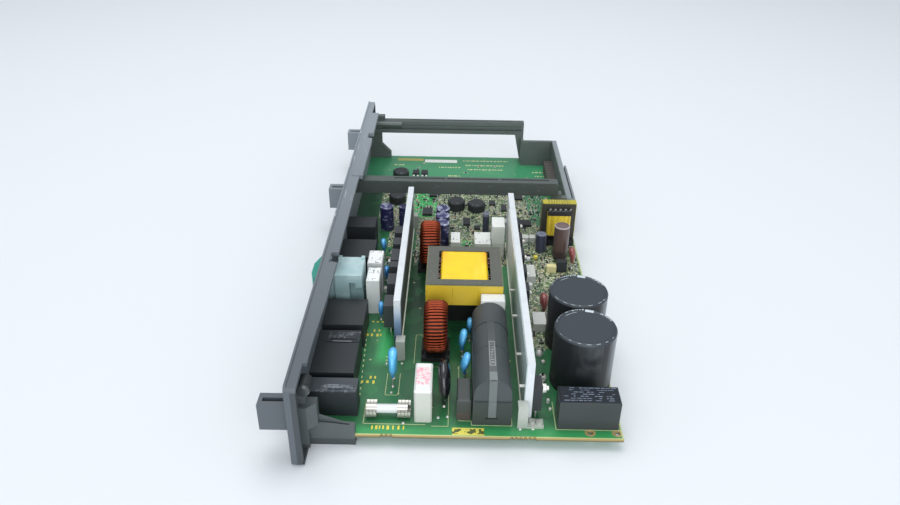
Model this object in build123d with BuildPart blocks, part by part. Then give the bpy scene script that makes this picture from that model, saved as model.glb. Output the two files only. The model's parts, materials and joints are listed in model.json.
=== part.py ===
from build123d import *
import math
import os

os.makedirs("parts", exist_ok=True)

# Lengths are mm. Working directions: X runs away from the front panel, Y along it, Z up.
# Height 0 is the board's top face, Y 0 the board's near edge.

# circuit board
board_left = -78.0
board_right = 92.3
board_length = 365.0
board_thick = 2.0
plated_hole_r = 1.6
plated_hole_y = 4.6
plated_hole_x = 75.0
plated_hole_pitch = 14.5
bite_r = 0.9

# front panel
panel_thick = 3.0
panel_near = -16.4
panel_far = 387.0
panel_low = -7.5
panel_high = 45.0
flange_thick = 2.4
strip_thick = 0.7
top_corner_r = 3.0
low_corner_r = 2.5
tab_reach = 16.0
tab_width = 9.6
tab_slot = 2.8
tab_low = 11.8
tab_high = 28.0
tab_spots = [-5.2, 239.7, 354.6]

# guide frame
arm_near = 232.0
arm_deep = 9.0
arm_low = 27.0
arm_high = 37.5
corner_step = 4.0
corner_far = 349.0
corner_wall = 3.0
corner_high = 23.4
side_wall_inset = 5.0
side_wall = 4.4
lip_reach = 3.3
rail_deep = 7.5
rail_low = 26.0
rail_high = 37.0
post_x = 60.0

# corner bracket
bracket_reach = 28.0
bracket_deep = 4.0
bracket_high = 7.2
upright_wide = 9.2
upright_high = 22.0
boss_r = 3.9
boss_z = 33.7
screw_r = 3.6

# connectors behind the panel
mains_start = 14.0
mains_high = 17.0
mains_long = [11.5, 39.1, 27.2]
mains_right = [-50.2, -53.5, -53.0]
mains_gaps = [4.1, 5.5]
signal_high = 19.5
signal_long = [25.0, 16.0]
signal_right = [-54.0, -57.0]
signal_gaps = [20.0, 18.0]
label_thick = 0.6
socket_deep = 17.0
socket_wall = 2.2
contact_long = 9.0
contact_thick = 0.9

# pale housing and the plug in front of it
housing_gap = 3.9
housing_long = 22.7
housing_left = -74.0
housing_right = -57.0
housing_high = 32.0
housing_step = 5.7
plug_reach = 7.6

# connector in the far corner
rear_inset = 13.0
rear_long = 45.0
rear_wide = 7.5
rear_high = 10.0

# heatsinks
sink_thick = 4.0
sink_high = 38.9
left_sink_x = -34.0
left_sink_near = 68.6
left_sink_far = 219.6
right_sink_x = 40.0
right_sink_near = 13.3
right_sink_far = 212.0
foot_thick = 1.2
foot_wide = 5.4
foot_high = 14.0
foot_reach = 6.5
left_foot_x = -32.8
right_foot_x = 36.2
tab_long = 8.8
left_device_thick = 8.0
device_thick = 5.2
device_wide = 10.4
device_low = 6.0
device_high = 22.0
stud_r = 0.9
stud_long = 3.2
stud_z = 21.0
stud_spots = [17.0, 44.0, 81.0, 109.0]
left_devices = [(93.5, 12.6), (118.5, 12.6), (136.5, 7.0), (149.0, 15.0), (167.5, 9.6), (184.0, 10.4)]
right_devices = [(y, device_wide) for y in (19.5, 112.0, 134.0, 156.0, 178.0, 200.0)]
leg_side = 0.8
leg_pitch = 2.9

# main transformer
core_left = -15.6
core_wide = 46.0
core_near = 90.0
core_deep = 45.5
core_low = 22.3
core_high = 37.0
yoke_deep = 5.8
core_leg = 6.8
middle_leg = 15.0
tape_thick = 0.6
winding_gap = 1.5
bobbin_plate = 2.0

# small transformer
aux_left = 65.9
aux_wide = 24.7
aux_gap = 16.5
aux_deep = 8.0
aux_base = 5.0
aux_high = 32.6
aux_frame = 3.8
aux_bulge = 4.5
aux_tape = 0.4

# toroid chokes
choke_r = 16.0
choke_bore = 5.8
choke_wide = 14.6
core_ring_out = 13.8
core_ring_in = 8.0
core_ring_wide = 10.2
choke_turns = 24
choke_base = 3.0
near_choke = (-9.3, 71.5)
far_choke = (-16.0, 171.0)

# line filter, film capacitor
filter_left = 12.6
filter_wide = 20.1
filter_shoulder = 15.6
filter_near = 10.0
filter_cap_long = 19.0
filter_flange = 0.5
filter_toe = 0.8
film_left = 17.5
film_wide = 14.5
film_deep = 7.5
film_high = 31.8
film_gap = 0.5

# large round capacitors
bulk_r = 17.5
bulk_high = 38.5
bulk_spots = [(74.9, 47.9), (75.7, 84.5)]

# relay
relay_left = 57.8
relay_wide = 32.5
relay_near = 7.0
relay_deep = 13.5
relay_high = 18.7

# fuse
fuse_y = 15.0
fuse_z = 5.0
fuse_r = 2.5
fuse_cap_r = 2.9
fuse_body = (-39.6, -28.5)
fuse_cap_long = 5.6
clip_thick = 0.6
clip_wide = 5.0
clip_arm = 1.4

# small parts, each as centre x, centre y and its sizes
navy_left = [(-51.4, 225.0, 5.15, 20.0), (-38.2, 226.0, 4.0, 19.5)]
navy_column = [(-8.2, 200.2, 5.2, 20.0), (-8.2, 211.9, 5.2, 20.0), (-8.2, 223.6, 5.2, 20.0)]
navy_right = [(25.0, 222.0, 2.5, 17.0), (65.2, 195.2, 4.0, 14.5)]
brown_x = 78.2
brown_gap = 12.5
brown_r = 5.5
brown_high = 27.5
brown_lift = 2.0
blue_discs = [
    (-32.9, 42.7, 7.0, 4.6, 24.7, 0),
    (6.2, 70.0, 5.5, 3.6, 18.0, 4),
    (8.0, 48.3, 5.5, 3.6, 17.0, 13),
    (10.0, 85.2, 4.0, 3.2, 15.5, 0),
    (-50.2, 183.4, 4.5, 3.2, 14.2, -6),
    (-45.6, 152.6, 4.2, 2.8, 10.0, 0),
    (-45.4, 105.9, 4.2, 2.8, 12.0, 0),
]
red_discs = [(60.2, 117.0, 5.0, 4.2, 14.0, -6), (85.4, 173.5, 4.8, 3.6, 17.5, -12)]
box_parts = [
    (1.7, 191.7, 6.6, 15.5, 12.0),
    (21.6, 191.2, 11.7, 17.5, 12.0),
    (32.5, 191.0, 9.0, 15.1, 25.6),
    (54.6, 157.0, 6.2, 15.6, 6.0),
    (55.8, 100.2, 8.2, 13.4, 6.0),
    (54.9, 210.0, 4.8, 5.2, 3.5),
    (60.1, 210.0, 4.2, 5.2, 3.5),
]
black_block = (77.5, 167.6, 7.2, 4.8, 8.0)

# the same past the mid arm, with y counted from the arm, or back from the far edge
flat_coils = [(2.1, 29.2, 7.5), (18.6, 27.7, 6.5), (-46.7, 39.5, 7.0)]
far_coil = (-47.3, 42.5, 5.0)
flat_coil_r = 7.0
far_chips = [(-34.2, 39.0, 5.6, 7.6, 2.4), (-26.6, 39.0, 5.6, 7.6, 2.4)]
chips = [
    (-21.2, 20.0, 7.6, 11.0, 2.0),
    (-17.5, 50.0, 6.3, 4.4, 1.8),
    (10.4, 4.5, 5.4, 10.5, 1.6),
    (18.5, -4.8, 4.6, 4.6, 1.4),
    (31.8, 37.5, 5.0, 7.0, 1.6),
    (41.0, 29.0, 4.3, 10.0, 1.6),
    (56.2, 3.5, 10.2, 8.5, 1.8),
    (54.0, 49.0, 6.8, 8.0, 1.8),
]

# everything below follows from the sizes above
panel_out = board_left - panel_thick
corner_near = arm_near + corner_step
side_wall_in = board_right - side_wall_inset
side_wall_out = side_wall_in + side_wall
lip_out = side_wall_out + lip_reach
mid_x = (panel_out - tab_reach + lip_out) / 2
mid_y = (panel_near + panel_far) / 2
bracket_right = board_left + bracket_reach
near_start = mains_start
middle_start = near_start + mains_long[0] + mains_gaps[0]
far_start = middle_start + mains_long[1] + mains_gaps[1]
mains_near = (near_start, near_start + mains_long[0], mains_right[0])
mains_mid = (middle_start, middle_start + mains_long[1], mains_right[1])
mains_far = (far_start, far_start + mains_long[2], mains_right[2])
housing_near = mains_far[1] + housing_gap
housing_far = housing_near + housing_long
signal_start = housing_far + signal_gaps[0]
second_start = signal_start + signal_long[0] + signal_gaps[1]
signal_near = (signal_start, signal_start + signal_long[0], signal_right[0])
signal_far = (second_start, second_start + signal_long[1], signal_right[1])
rear_far = corner_far - rear_inset
rear_near = rear_far - rear_long
aux_near = corner_near - aux_gap - aux_bulge - aux_deep
brown_y = aux_near - aux_bulge - brown_gap - brown_r
core_right = core_left + core_wide
winding_wide = core_wide - 2 * (core_leg + winding_gap)
core_far = core_near + core_deep
film_far = core_near - tape_thick - film_gap
film_near = film_far - film_deep
filter_far = film_near - film_gap
filter_joint = filter_far - filter_cap_long
filter_mid = filter_left + filter_wide / 2
filter_r = filter_wide / 2


def spot(x, y, z=0.0):
    """Working coordinates to the finished part's own frame."""
    return (x - mid_x, y - mid_y, z - panel_low)


def deck(z=0.0):
    """Level plane at height z."""
    return Plane(spot(0, 0, z))


def side_plane(x):
    """Upright plane across X: sketch x is Y, sketch y is height."""
    return Plane(origin=spot(x, 0, 0), x_dir=(0, 1, 0), z_dir=(1, 0, 0))


def end_plane(y):
    """Upright plane across Y: sketch x is X, sketch y is height, pushes towards the near edge."""
    return Plane(origin=spot(0, y, 0), x_dir=(1, 0, 0), z_dir=(0, -1, 0))


def slab(x0, x1, y0, y1, z0, z1, mode=Mode.ADD):
    """Box between two corners."""
    with BuildSketch(deck(z0)) as outline:
        with Locations(((x0 + x1) / 2, (y0 + y1) / 2)):
            Rectangle(x1 - x0, y1 - y0)
    extrude(outline.sketch, amount=z1 - z0, mode=mode)


def column(x, y, r, z0, z1, mode=Mode.ADD):
    """Upright round bar."""
    with BuildSketch(deck(z0)) as outline:
        with Locations((x, y)):
            Circle(r)
    extrude(outline.sketch, amount=z1 - z0, mode=mode)


def bar_x(y, z, r, x0, x1, mode=Mode.ADD):
    """Round bar along X."""
    with BuildSketch(side_plane(x0)) as outline:
        with Locations((y, z)):
            Circle(r)
    extrude(outline.sketch, amount=x1 - x0, mode=mode)


def profile_y(points, y0, y1, mode=Mode.ADD):
    """Upright outline of (x, z) points, pushed along Y."""
    with BuildSketch(end_plane(y1)) as outline:
        Polygon(*points, align=None)
    extrude(outline.sketch, amount=y1 - y0, mode=mode)


def plan(points, z0, z1, mode=Mode.ADD):
    """Level outline of (x, y) points, pushed up."""
    with BuildSketch(deck(z0)) as outline:
        Polygon(*points, align=None)
    extrude(outline.sketch, amount=z1 - z0, mode=mode)


def turned(x, y, points, mode=Mode.ADD):
    """Round body about an upright line: points are (radius, height)."""
    with BuildSketch(end_plane(y)) as outline:
        Polygon(*[(x + r, z) for r, z in points], align=None)
    revolve(outline.sketch, axis=Axis(spot(x, y, 0), (0, 0, 1)), mode=mode)


def can(x, y, r, high, low=0.0, edge=0.6):
    """Round can with a softened top rim and a sunk lid."""
    turned(x, y, [(0, low), (r, low), (r, high - edge), (r - edge, high),
                  (r - 2 * edge, high), (r - 2 * edge, high - edge / 2), (0, high - edge / 2)])


def disc(x, y, r, thick, top, lean=0.0):
    """Coated disc standing on edge on two leads, leaning by some degrees towards +X."""
    low = max(top - 2 * r, 1.5)
    middle = (low + top) / 2
    across = (math.cos(math.radians(lean)), 0, -math.sin(math.radians(lean)))
    with BuildSketch(Plane(origin=spot(x, y, middle), x_dir=(0, 1, 0), z_dir=across)) as outline:
        Ellipse(r, (top - low) / 2)
    extrude(outline.sketch, amount=thick / 2, both=True)
    for side in (-0.45, 0.45):
        slab(x - 0.35, x + 0.35, y + side * r - 0.35, y + side * r + 0.35, 0, middle)


# circuit board: stepped around the corner wall and the near bracket
with BuildPart() as circuit_board:
    plan([(board_left, bracket_deep), (bracket_right, bracket_deep), (bracket_right, 0),
          (board_right, 0), (board_right, corner_near), (side_wall_in, corner_near),
          (side_wall_in, corner_far), (post_x, corner_far), (post_x, board_length),
          (board_left, board_length)], -board_thick, 0)
    for x in (plated_hole_x, plated_hole_x + plated_hole_pitch):
        column(x, plated_hole_y, plated_hole_r, -board_thick, 0, Mode.SUBTRACT)
    for first, count in ((-36.0, 3), (33.0, 6)):
        for i in range(count):
            column(first + i * 2.4, 0, bite_r, -board_thick, 0, Mode.SUBTRACT)

# front panel: upright web, stepped top flange, low flange, end walls and latch tabs
with BuildPart() as front_panel:
    slab(panel_out, board_left, panel_near, panel_far, panel_low, panel_high - strip_thick)
    flange_low = panel_high - strip_thick - flange_thick
    plan([(board_left, panel_near), (-74.8, panel_near), (-74.8, 4), (-72.6, 4), (-72.6, 20),
          (-71.2, 60), (-71.0, 102), (-75.0, 102), (-75.0, 113), (-71.5, 113), (-71.5, 225),
          (-69.0, 225), (-69.0, 298), (-73.0, 298), (-73.0, 309), (-69.0, 309), (-69.0, 357),
          (-75.3, 357), (-75.3, panel_far), (board_left, panel_far)],
         flange_low, panel_high - strip_thick)
    plan([(-76.7, 225), (-69.0, 225), (-69.0, 298), (-73.0, 298), (-73.0, 309), (-69.0, 309),
          (-69.0, 357), (-76.7, 357)], panel_high - strip_thick, panel_high)
    slab(panel_out, panel_out + 1.2, panel_near, panel_far, panel_high - strip_thick, panel_high)
    slab(board_left, -74.5, panel_near, -1, panel_low, panel_low + 2)
    slab(board_left, -74.5, board_length + 2, panel_far, panel_low, panel_low + 2)
    for y0, y1 in ((panel_near, panel_near + 2.4), (panel_far - 2.4, panel_far)):
        slab(board_left, -75.0, y0, y1, panel_low, flange_low)
    for y in tab_spots:
        slab(panel_out - tab_reach, panel_out, y - tab_width / 2, y + tab_width / 2,
             tab_low, tab_high)
        slab(panel_out - tab_reach + 2.2, panel_out - 2.2, y - tab_slot / 2, y + tab_slot / 2,
             tab_low, tab_high, Mode.SUBTRACT)
    for near, far, _ in (mains_near, mains_mid, mains_far):
        slab(panel_out, board_left, near, far, 0, mains_high, Mode.SUBTRACT)
    for near, far, _ in (signal_near, signal_far):
        slab(panel_out, board_left, near, far, 0, signal_high, Mode.SUBTRACT)
    slab(panel_out, board_left, housing_near + 2, housing_far - 2, 4, housing_high - 3,
         Mode.SUBTRACT)
    for z, r, way in ((panel_high, top_corner_r, -1), (panel_low, low_corner_r, 1)):
        with BuildSketch(side_plane(panel_out)) as corner:
            with Locations((panel_near + r / 2, z + way * r / 2)):
                Rectangle(r, r)
            with Locations((panel_near + r, z + way * r)):
                Circle(r, mode=Mode.SUBTRACT)
        extrude(corner.sketch, amount=10, mode=Mode.SUBTRACT)

# guide frame: mid arm, far rail on posts, walls around the far corner
with BuildPart() as guide_frame:
    arm_far = arm_near + arm_deep
    slab(board_left, 80, arm_near, arm_far, arm_low, arm_high)
    fillet(guide_frame.edges().filter_by(Axis.Y).group_by(Axis.X)[-1].sort_by(Axis.Z)[-1], 2.5)
    for x0, x1 in ((-46.3, -7.2), (-5.4, 33.9), (36.0, 73.0)):
        slab(x0, x1, arm_near + 4.8, arm_near + 7.0, arm_high - 4, arm_high, Mode.SUBTRACT)
    slab(76, 83.5, corner_near, arm_far, 0, arm_low)
    slab(83.5, side_wall_in, corner_near, arm_far, 0, corner_high)
    slab(side_wall_in, side_wall_out, corner_near, corner_far + corner_wall,
         panel_low, corner_high)
    slab(side_wall_out, lip_out, corner_near, 303, panel_low, 21)
    slab(side_wall_out, lip_out - 1.6, arm_far, 303, 18, 21, Mode.SUBTRACT)
    slab(post_x, side_wall_in, corner_far, corner_far + corner_wall, panel_low, corner_high)
    slab(post_x, post_x + 2.2, corner_far, board_length, panel_low, corner_high)
    rail_near = board_length - rail_deep
    slab(board_left, post_x + 2.2, rail_near, board_length, rail_low, rail_high)
    profile_y([(54.5, rail_low), (post_x, 0), (post_x, panel_low), (post_x + 2.2, panel_low),
               (post_x + 2.2, rail_low)], rail_near, board_length)
    profile_y([(board_left, 0), (-59, 0), (-59, 5.5), (-67, 13.8), (-67, rail_low),
               (board_left, rail_low)], board_length - 4, board_length)
    slab(-66, post_x, rail_near, rail_near + 1, 30.4, 32.0, Mode.SUBTRACT)
    for x0, x1 in ((-40, -5), (-3, 30), (32, 52)):
        slab(x0, x1, board_length - 3, board_length - 1.8, rail_high - 2.5, rail_high,
             Mode.SUBTRACT)
    bar_x(rail_near, 34.2, 2.6, board_left, -48.3)
    slab(-69.7, -63.9, board_length - 6, board_length, rail_high, rail_high + 4)
    slab(side_wall_in, lip_out, rear_near + 2, rear_far - 2, 2, rear_high - 2, Mode.SUBTRACT)

# corner bracket: low block at the board's near corner, upright and slanted rib
with BuildPart() as corner_bracket:
    upright_right = board_left + upright_wide
    boss_x = board_left + boss_r
    profile_y([(board_left, panel_low), (bracket_right, panel_low), (bracket_right, bracket_high - 2.4),
               (upright_right, bracket_high), (board_left, bracket_high)], 0, bracket_deep)
    slab(upright_right, bracket_right - 3, 1.6, 2.6, 0, bracket_high, Mode.SUBTRACT)
    profile_y([(upright_right, 0), (bracket_right, 0), (bracket_right, 3), (upright_right, 10.4)],
              2.6, bracket_deep)
    plan([(board_left, -5), (board_left + 4.6, -5), (upright_right, -0.6),
          (upright_right, bracket_deep), (board_left, bracket_deep)], bracket_high, upright_high)
    slab(board_left, board_left + 4.6, -5, 0, panel_low + 2, bracket_high)
    slab(board_left, board_left + 4, -2, bracket_deep, upright_high, boss_z)
    with BuildSketch(end_plane(bracket_deep)) as boss:
        with Locations((boss_x, boss_z)):
            Circle(boss_r)
    extrude(boss.sketch, amount=bracket_deep + 4)

with BuildPart() as corner_screw:
    with BuildSketch(end_plane(-4)) as outline:
        with Locations((boss_x, boss_z)):
            Circle(screw_r)
    extrude(amount=2.2)
    chamfer(corner_screw.edges().group_by(Axis.Y)[0], 1.0)


def socket_block(near, far, right, high, cells):
    """Block through the panel with cells open to the front."""
    slab(panel_out, right, near, far, 0, high)
    step = (far - near - socket_wall) / cells
    for i in range(cells):
        slab(panel_out, panel_out + socket_deep, near + socket_wall + i * step,
             near + (i + 1) * step, socket_wall + 1, high - socket_wall, Mode.SUBTRACT)


# three mains connectors
with BuildPart() as near_mains_connector:
    socket_block(*mains_near, mains_high, 1)
    slab(mains_near[2] - 18, mains_near[2] - 2, near_start + 2, near_start + 6,
         mains_high, mains_high + label_thick)

with BuildPart() as middle_mains_connector:
    socket_block(*mains_mid, mains_high, 4)
    label_near = mains_mid[1] - 8.7
    slab(mains_mid[2] - 17, mains_mid[2] - 2, label_near, label_near + 6,
         mains_high, mains_high + label_thick)
    slab(mains_mid[2] - 20, mains_mid[2], label_near - 3, label_near - 2.4,
         mains_high - 0.6, mains_high, Mode.SUBTRACT)

with BuildPart() as far_mains_connector:
    socket_block(*mains_far, mains_high, 3)

# two signal connectors further up the panel
with BuildPart() as near_signal_connector:
    socket_block(*signal_near, signal_high, 2)

with BuildPart() as far_signal_connector:
    socket_block(*signal_far, signal_high, 1)

# flat contacts standing off the back wall of each cell
with BuildPart() as connector_contacts:
    for (near, far, _), high, cells in ((mains_near, mains_high, 1), (mains_mid, mains_high, 4),
                                        (mains_far, mains_high, 3), (signal_near, signal_high, 2),
                                        (signal_far, signal_high, 1)):
        step = (far - near - socket_wall) / cells
        back = panel_out + socket_deep
        for i in range(cells):
            middle = near + socket_wall / 2 + (i + 0.5) * step
            slab(back - contact_long, back, middle - contact_thick / 2,
                 middle + contact_thick / 2, high * 0.35, high * 0.65)

# pale housing behind the panel, with a neck through the window
with BuildPart() as signal_housing:
    slab(housing_left, housing_right, housing_near, housing_far, 0, housing_high)
    slab(panel_out, housing_left, housing_near + 2, housing_far - 2, 4, housing_high - 3)
    slab(housing_right - 8, housing_right - 4.2, housing_near, housing_near + housing_step,
         0, housing_high - 5.4, Mode.SUBTRACT)
    slab(housing_right - 4.2, housing_right, housing_near, housing_near + housing_step,
         0, housing_high - 9, Mode.SUBTRACT)
    slab(housing_right - 2.2, housing_right, housing_far - 3, housing_far,
         housing_high, housing_high + 1.2)
    slab(housing_left, housing_left + 2.2, housing_far - 3, housing_far,
         housing_high, housing_high + 1.2)

with BuildPart() as signal_plug:
    plan([(panel_out, housing_near - 3.8), (panel_out, housing_far + 0.5),
          (panel_out - 4.4, housing_far + 0.5), (panel_out - plug_reach, housing_far - 9),
          (panel_out - plug_reach, housing_near + 2.7), (panel_out - 6, housing_near - 2.3)],
         6, housing_high)

# connector in the far corner: socket towards the back, through the frame wall
with BuildPart() as rear_connector:
    rear_left = side_wall_in - rear_wide
    slab(rear_left, side_wall_in, rear_near, rear_far, 0, rear_high)
    slab(rear_left + 1.5, side_wall_in, rear_near + 2, rear_far - 2, 2, rear_high - 2,
         Mode.SUBTRACT)

with BuildPart() as rear_pins:
    for z in (3.6, 6.4):
        for i in range(10):
            y = rear_near + 5 + i * (rear_far - rear_near - 10) / 9
            slab(rear_left + 1.5, rear_left + 3.6, y - 0.35, y + 0.35, z - 0.35, z + 0.35)

# white noise suppression capacitors
with BuildPart() as noise_capacitors:
    for x0, x1, y0 in ((-55, -46.5, housing_near + 5.1), (-56.4, -46.6, housing_far + 4)):
        slab(x0, x1, y0, y0 + 16, 0, 25.6)
    chamfer(noise_capacitors.edges().group_by(Axis.Z)[-1], 0.6)

# heatsink bars and their feet
with BuildPart() as left_heatsink:
    slab(left_sink_x, left_sink_x + sink_thick, left_sink_near, left_sink_far, 0, sink_high)

with BuildPart() as right_heatsink:
    slab(right_sink_x, right_sink_x + sink_thick, right_sink_near, right_sink_far,
         0, sink_high)

with BuildPart() as heatsink_feet:
    for x, near, far in ((left_foot_x, left_sink_near, left_sink_far),
                         (right_foot_x, right_sink_near, right_sink_far)):
        for y0, y1, plate in ((near - foot_reach, near, near - foot_reach),
                              (far, far + foot_reach, far + foot_reach - foot_thick)):
            slab(x, x + foot_wide, plate, plate + foot_thick, 0, foot_high)
            slab(x, x + foot_wide, y0, y1, foot_high - foot_thick, foot_high)
    tab_left = right_foot_x + foot_wide
    slab(tab_left, tab_left + tab_long, right_sink_near - foot_reach, right_sink_near,
         0, foot_thick)

with BuildPart() as heatsink_screws:
    for dx, dy in ((2.6, 3.6), (6.6, 2.7)):
        column(tab_left + dx, right_sink_near - foot_reach + dy, 1.7, foot_thick, foot_thick + 1.5)
    for y in stud_spots:
        bar_x(y, stud_z, stud_r, right_sink_x - stud_long, right_sink_x)

# power devices flat on the heatsinks, three legs each
with BuildPart() as left_devices_part:
    for y, wide in left_devices:
        slab(left_sink_x - left_device_thick, left_sink_x, y - wide / 2, y + wide / 2,
             device_low, device_high)

with BuildPart() as right_devices_part:
    right_face = right_sink_x + sink_thick
    for y, wide in right_devices:
        slab(right_face, right_face + device_thick, y - wide / 2, y + wide / 2,
             device_low, device_high)

with BuildPart() as device_legs:
    for row, x in ((left_devices, left_sink_x - left_device_thick / 2),
                   (right_devices, right_face + device_thick / 2)):
        for y, wide in row:
            for i in (-1, 0, 1):
                slab(x - leg_side / 2, x + leg_side / 2, y + i * leg_pitch - leg_side / 2,
                     y + i * leg_pitch + leg_side / 2, 0, device_low)

# main transformer: flat core frame with a low middle leg
winding_left = core_left + (core_wide - winding_wide) / 2
winding_right = winding_left + winding_wide
leg_left = core_left + (core_wide - middle_leg) / 2
leg_low, leg_high = core_low + 4, core_high - 5
with BuildPart() as transformer_core:
    slab(core_left, core_right, core_near, core_far, core_low, core_high)
    slab(core_left + core_leg, core_right - core_leg, core_near + yoke_deep,
         core_far - yoke_deep, core_low, core_high, Mode.SUBTRACT)
    slab(leg_left, leg_left + middle_leg, core_near + yoke_deep, core_far - yoke_deep,
         leg_low, leg_high)

with BuildPart() as transformer_winding:
    slab(winding_left, winding_right, core_near + yoke_deep, core_far - yoke_deep,
         core_low - 1, core_high - 0.5)
    chamfer(transformer_winding.edges().filter_by(Axis.Y), 1.0)
    slab(leg_left, leg_left + middle_leg, core_near + yoke_deep, core_far - yoke_deep,
         leg_low, leg_high, Mode.SUBTRACT)

with BuildPart() as transformer_tape:
    slab(core_left - tape_thick, core_right + tape_thick, core_near - tape_thick,
         core_far + tape_thick, core_low, core_high - 0.3)
    slab(core_left, core_right, core_near, core_far, core_low, core_high - 0.3, Mode.SUBTRACT)

with BuildPart() as transformer_bobbin:
    bobbin_top = core_low - 1
    slab(winding_left - 1, winding_right + 1, core_near + yoke_deep + 1,
         core_far - yoke_deep - 1, bobbin_top - bobbin_plate, bobbin_top)
    for y0 in (core_near + 14, core_far - 20):
        slab(core_left + 2.5, core_right - 2.5, y0, y0 + 6, 0, bobbin_top - bobbin_plate)

# small transformer: upright core on a base, winding bulging to both sides
aux_right = aux_left + aux_wide
aux_far = aux_near + aux_deep
with BuildPart() as aux_transformer_core:
    slab(aux_left, aux_right, aux_near, aux_far, aux_base, aux_high)
    slab(aux_left + aux_frame, aux_right - aux_frame, aux_near, aux_far,
         aux_base + aux_frame, aux_high - aux_frame, Mode.SUBTRACT)

with BuildPart() as aux_transformer_winding:
    slab(aux_left + aux_frame, aux_right - aux_frame, aux_near - aux_bulge,
         aux_far + aux_bulge, aux_base + aux_frame, aux_high - aux_frame)
    chamfer(aux_transformer_winding.edges().filter_by(Axis.Z), 1.2)

with BuildPart() as aux_transformer_base:
    slab(aux_left, aux_right, aux_near - aux_bulge, aux_far + aux_bulge, 0, aux_base)

with BuildPart() as aux_transformer_tape:
    slab(aux_left - aux_tape, aux_right + aux_tape, aux_near + 0.8, aux_far - 0.8,
         aux_base, aux_high + aux_tape)
    slab(aux_left, aux_right, aux_near + 0.8, aux_far - 0.8, aux_base, aux_high,
         Mode.SUBTRACT)


def ring_core(x, y):
    """Bare ring standing on edge."""
    z = choke_base + choke_r
    bar_x(y, z, core_ring_out, x - core_ring_wide / 2, x + core_ring_wide / 2)
    bar_x(y, z, core_ring_in, x - core_ring_wide / 2, x + core_ring_wide / 2, Mode.SUBTRACT)


def ring_turns(x, y, core):
    """Copper turns around the ring, one of them resting on the base."""
    z = choke_base + choke_r
    with BuildSketch(side_plane(x - choke_wide / 2)) as outline:
        with Locations((y, z)):
            with PolarLocations(0, choke_turns, start_angle=-90):
                Polygon((choke_bore, -0.62), (choke_r, -1.35), (choke_r, 1.35),
                        (choke_bore, 0.62), align=None)
    extrude(outline.sketch, amount=choke_wide)
    add(core, mode=Mode.SUBTRACT)


def choke_cradle(x, y):
    """Base plate with a low wall at each side of the ring."""
    half = choke_wide / 2
    slab(x - half - 1.2, x + half + 1.2, y - 10, y + 10, 0, choke_base)
    for x0 in (x - half - 1.2, x + half + 0.1):
        slab(x0, x0 + 1.1, y - 6, y + 6, choke_base, choke_base + 2.5)


with BuildPart() as near_choke_core:
    ring_core(*near_choke)

with BuildPart() as near_choke_turns:
    ring_turns(*near_choke, near_choke_core.part)

with BuildPart() as near_choke_base:
    choke_cradle(*near_choke)

with BuildPart() as far_choke_core:
    ring_core(*far_choke)

with BuildPart() as far_choke_turns:
    ring_turns(*far_choke, far_choke_core.part)

with BuildPart() as far_choke_base:
    choke_cradle(*far_choke)

# line filter: arched case with a wider foot, closed by a cap at the far end
def arch(grow, y0, y1):
    """Arched body on straight sides."""
    top = filter_shoulder + 4.4
    with BuildSketch(end_plane(y1)) as outline:
        with Locations((filter_mid, top)):
            Circle(filter_r + grow)
        with Locations((filter_mid, top / 2)):
            Rectangle(filter_wide + 2 * grow, top)
    extrude(outline.sketch, amount=y1 - y0)


with BuildPart() as line_filter_case:
    arch(0, filter_near, filter_joint)
    slab(filter_left - filter_flange, filter_left + filter_wide + 0.3,
         filter_near - filter_toe, filter_joint, 0, filter_shoulder)

with BuildPart() as line_filter_cap:
    arch(0.4, filter_joint, filter_far)

with BuildPart() as film_capacitor:
    slab(film_left, film_left + film_wide, film_near, film_far, 0, film_high)
    chamfer(film_capacitor.edges().group_by(Axis.Z)[-1], 0.8)

with BuildPart() as line_capacitor:
    slab(-19.3, -9.8, 10, 34.5, 0, 21.6)
    chamfer(line_capacitor.edges().group_by(Axis.Z)[-1], 1.0)
    chamfer(line_capacitor.edges().filter_by(Axis.Z), 0.8)

with BuildPart() as varistor:
    disc(-3.3, 28.5, 11.8, 4.6, 26.2, -3)

with BuildPart() as small_relay:
    slab(3.6, 11.2, 12.5, 31.3, 0, 13.9)
    chamfer(small_relay.edges().group_by(Axis.Z)[-1], 0.7)

with BuildPart() as disc_capacitors:
    for spec in blue_discs:
        disc(*spec)

# large round capacitors: crimp groove near the foot, rolled rim, sunk lid
bulk_profile = [(0, 0), (bulk_r, 0), (bulk_r, 2.4), (bulk_r - 0.7, 3.2), (bulk_r, 4.0),
                (bulk_r, bulk_high - 1.4), (bulk_r - 0.5, bulk_high - 0.4),
                (bulk_r - 1.4, bulk_high), (bulk_r - 2.4, bulk_high - 0.5),
                (0, bulk_high - 0.5)]
with BuildPart() as near_bulk_capacitor:
    turned(*bulk_spots[0], bulk_profile)

with BuildPart() as far_bulk_capacitor:
    turned(*bulk_spots[1], bulk_profile)

with BuildPart() as relay:
    slab(relay_left, relay_left + relay_wide, relay_near, relay_near + relay_deep,
         0, relay_high)
    chamfer(relay.edges().group_by(Axis.Z)[-1], 0.6)

# small round capacitors
with BuildPart() as left_capacitors:
    for spec in navy_left:
        can(*spec)

with BuildPart() as column_capacitors:
    for spec in navy_column:
        can(*spec)

with BuildPart() as right_capacitors:
    for spec in navy_right:
        can(*spec)

with BuildPart() as brown_capacitor:
    can(brown_x, brown_y, brown_r, brown_high, brown_lift)
    for side in (-2.4, 2.4):
        column(brown_x + side, brown_y, 0.5, 0, brown_lift)

# fuse held in two clips
cap_spans = [(fuse_body[0] - fuse_cap_long, fuse_body[0]),
             (fuse_body[1], fuse_body[1] + fuse_cap_long)]
with BuildPart() as fuse_tube:
    bar_x(fuse_y, fuse_z, fuse_r, *fuse_body)

with BuildPart() as fuse_caps:
    for x0, x1 in cap_spans:
        bar_x(fuse_y, fuse_z, fuse_cap_r, x0, x1)

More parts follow.
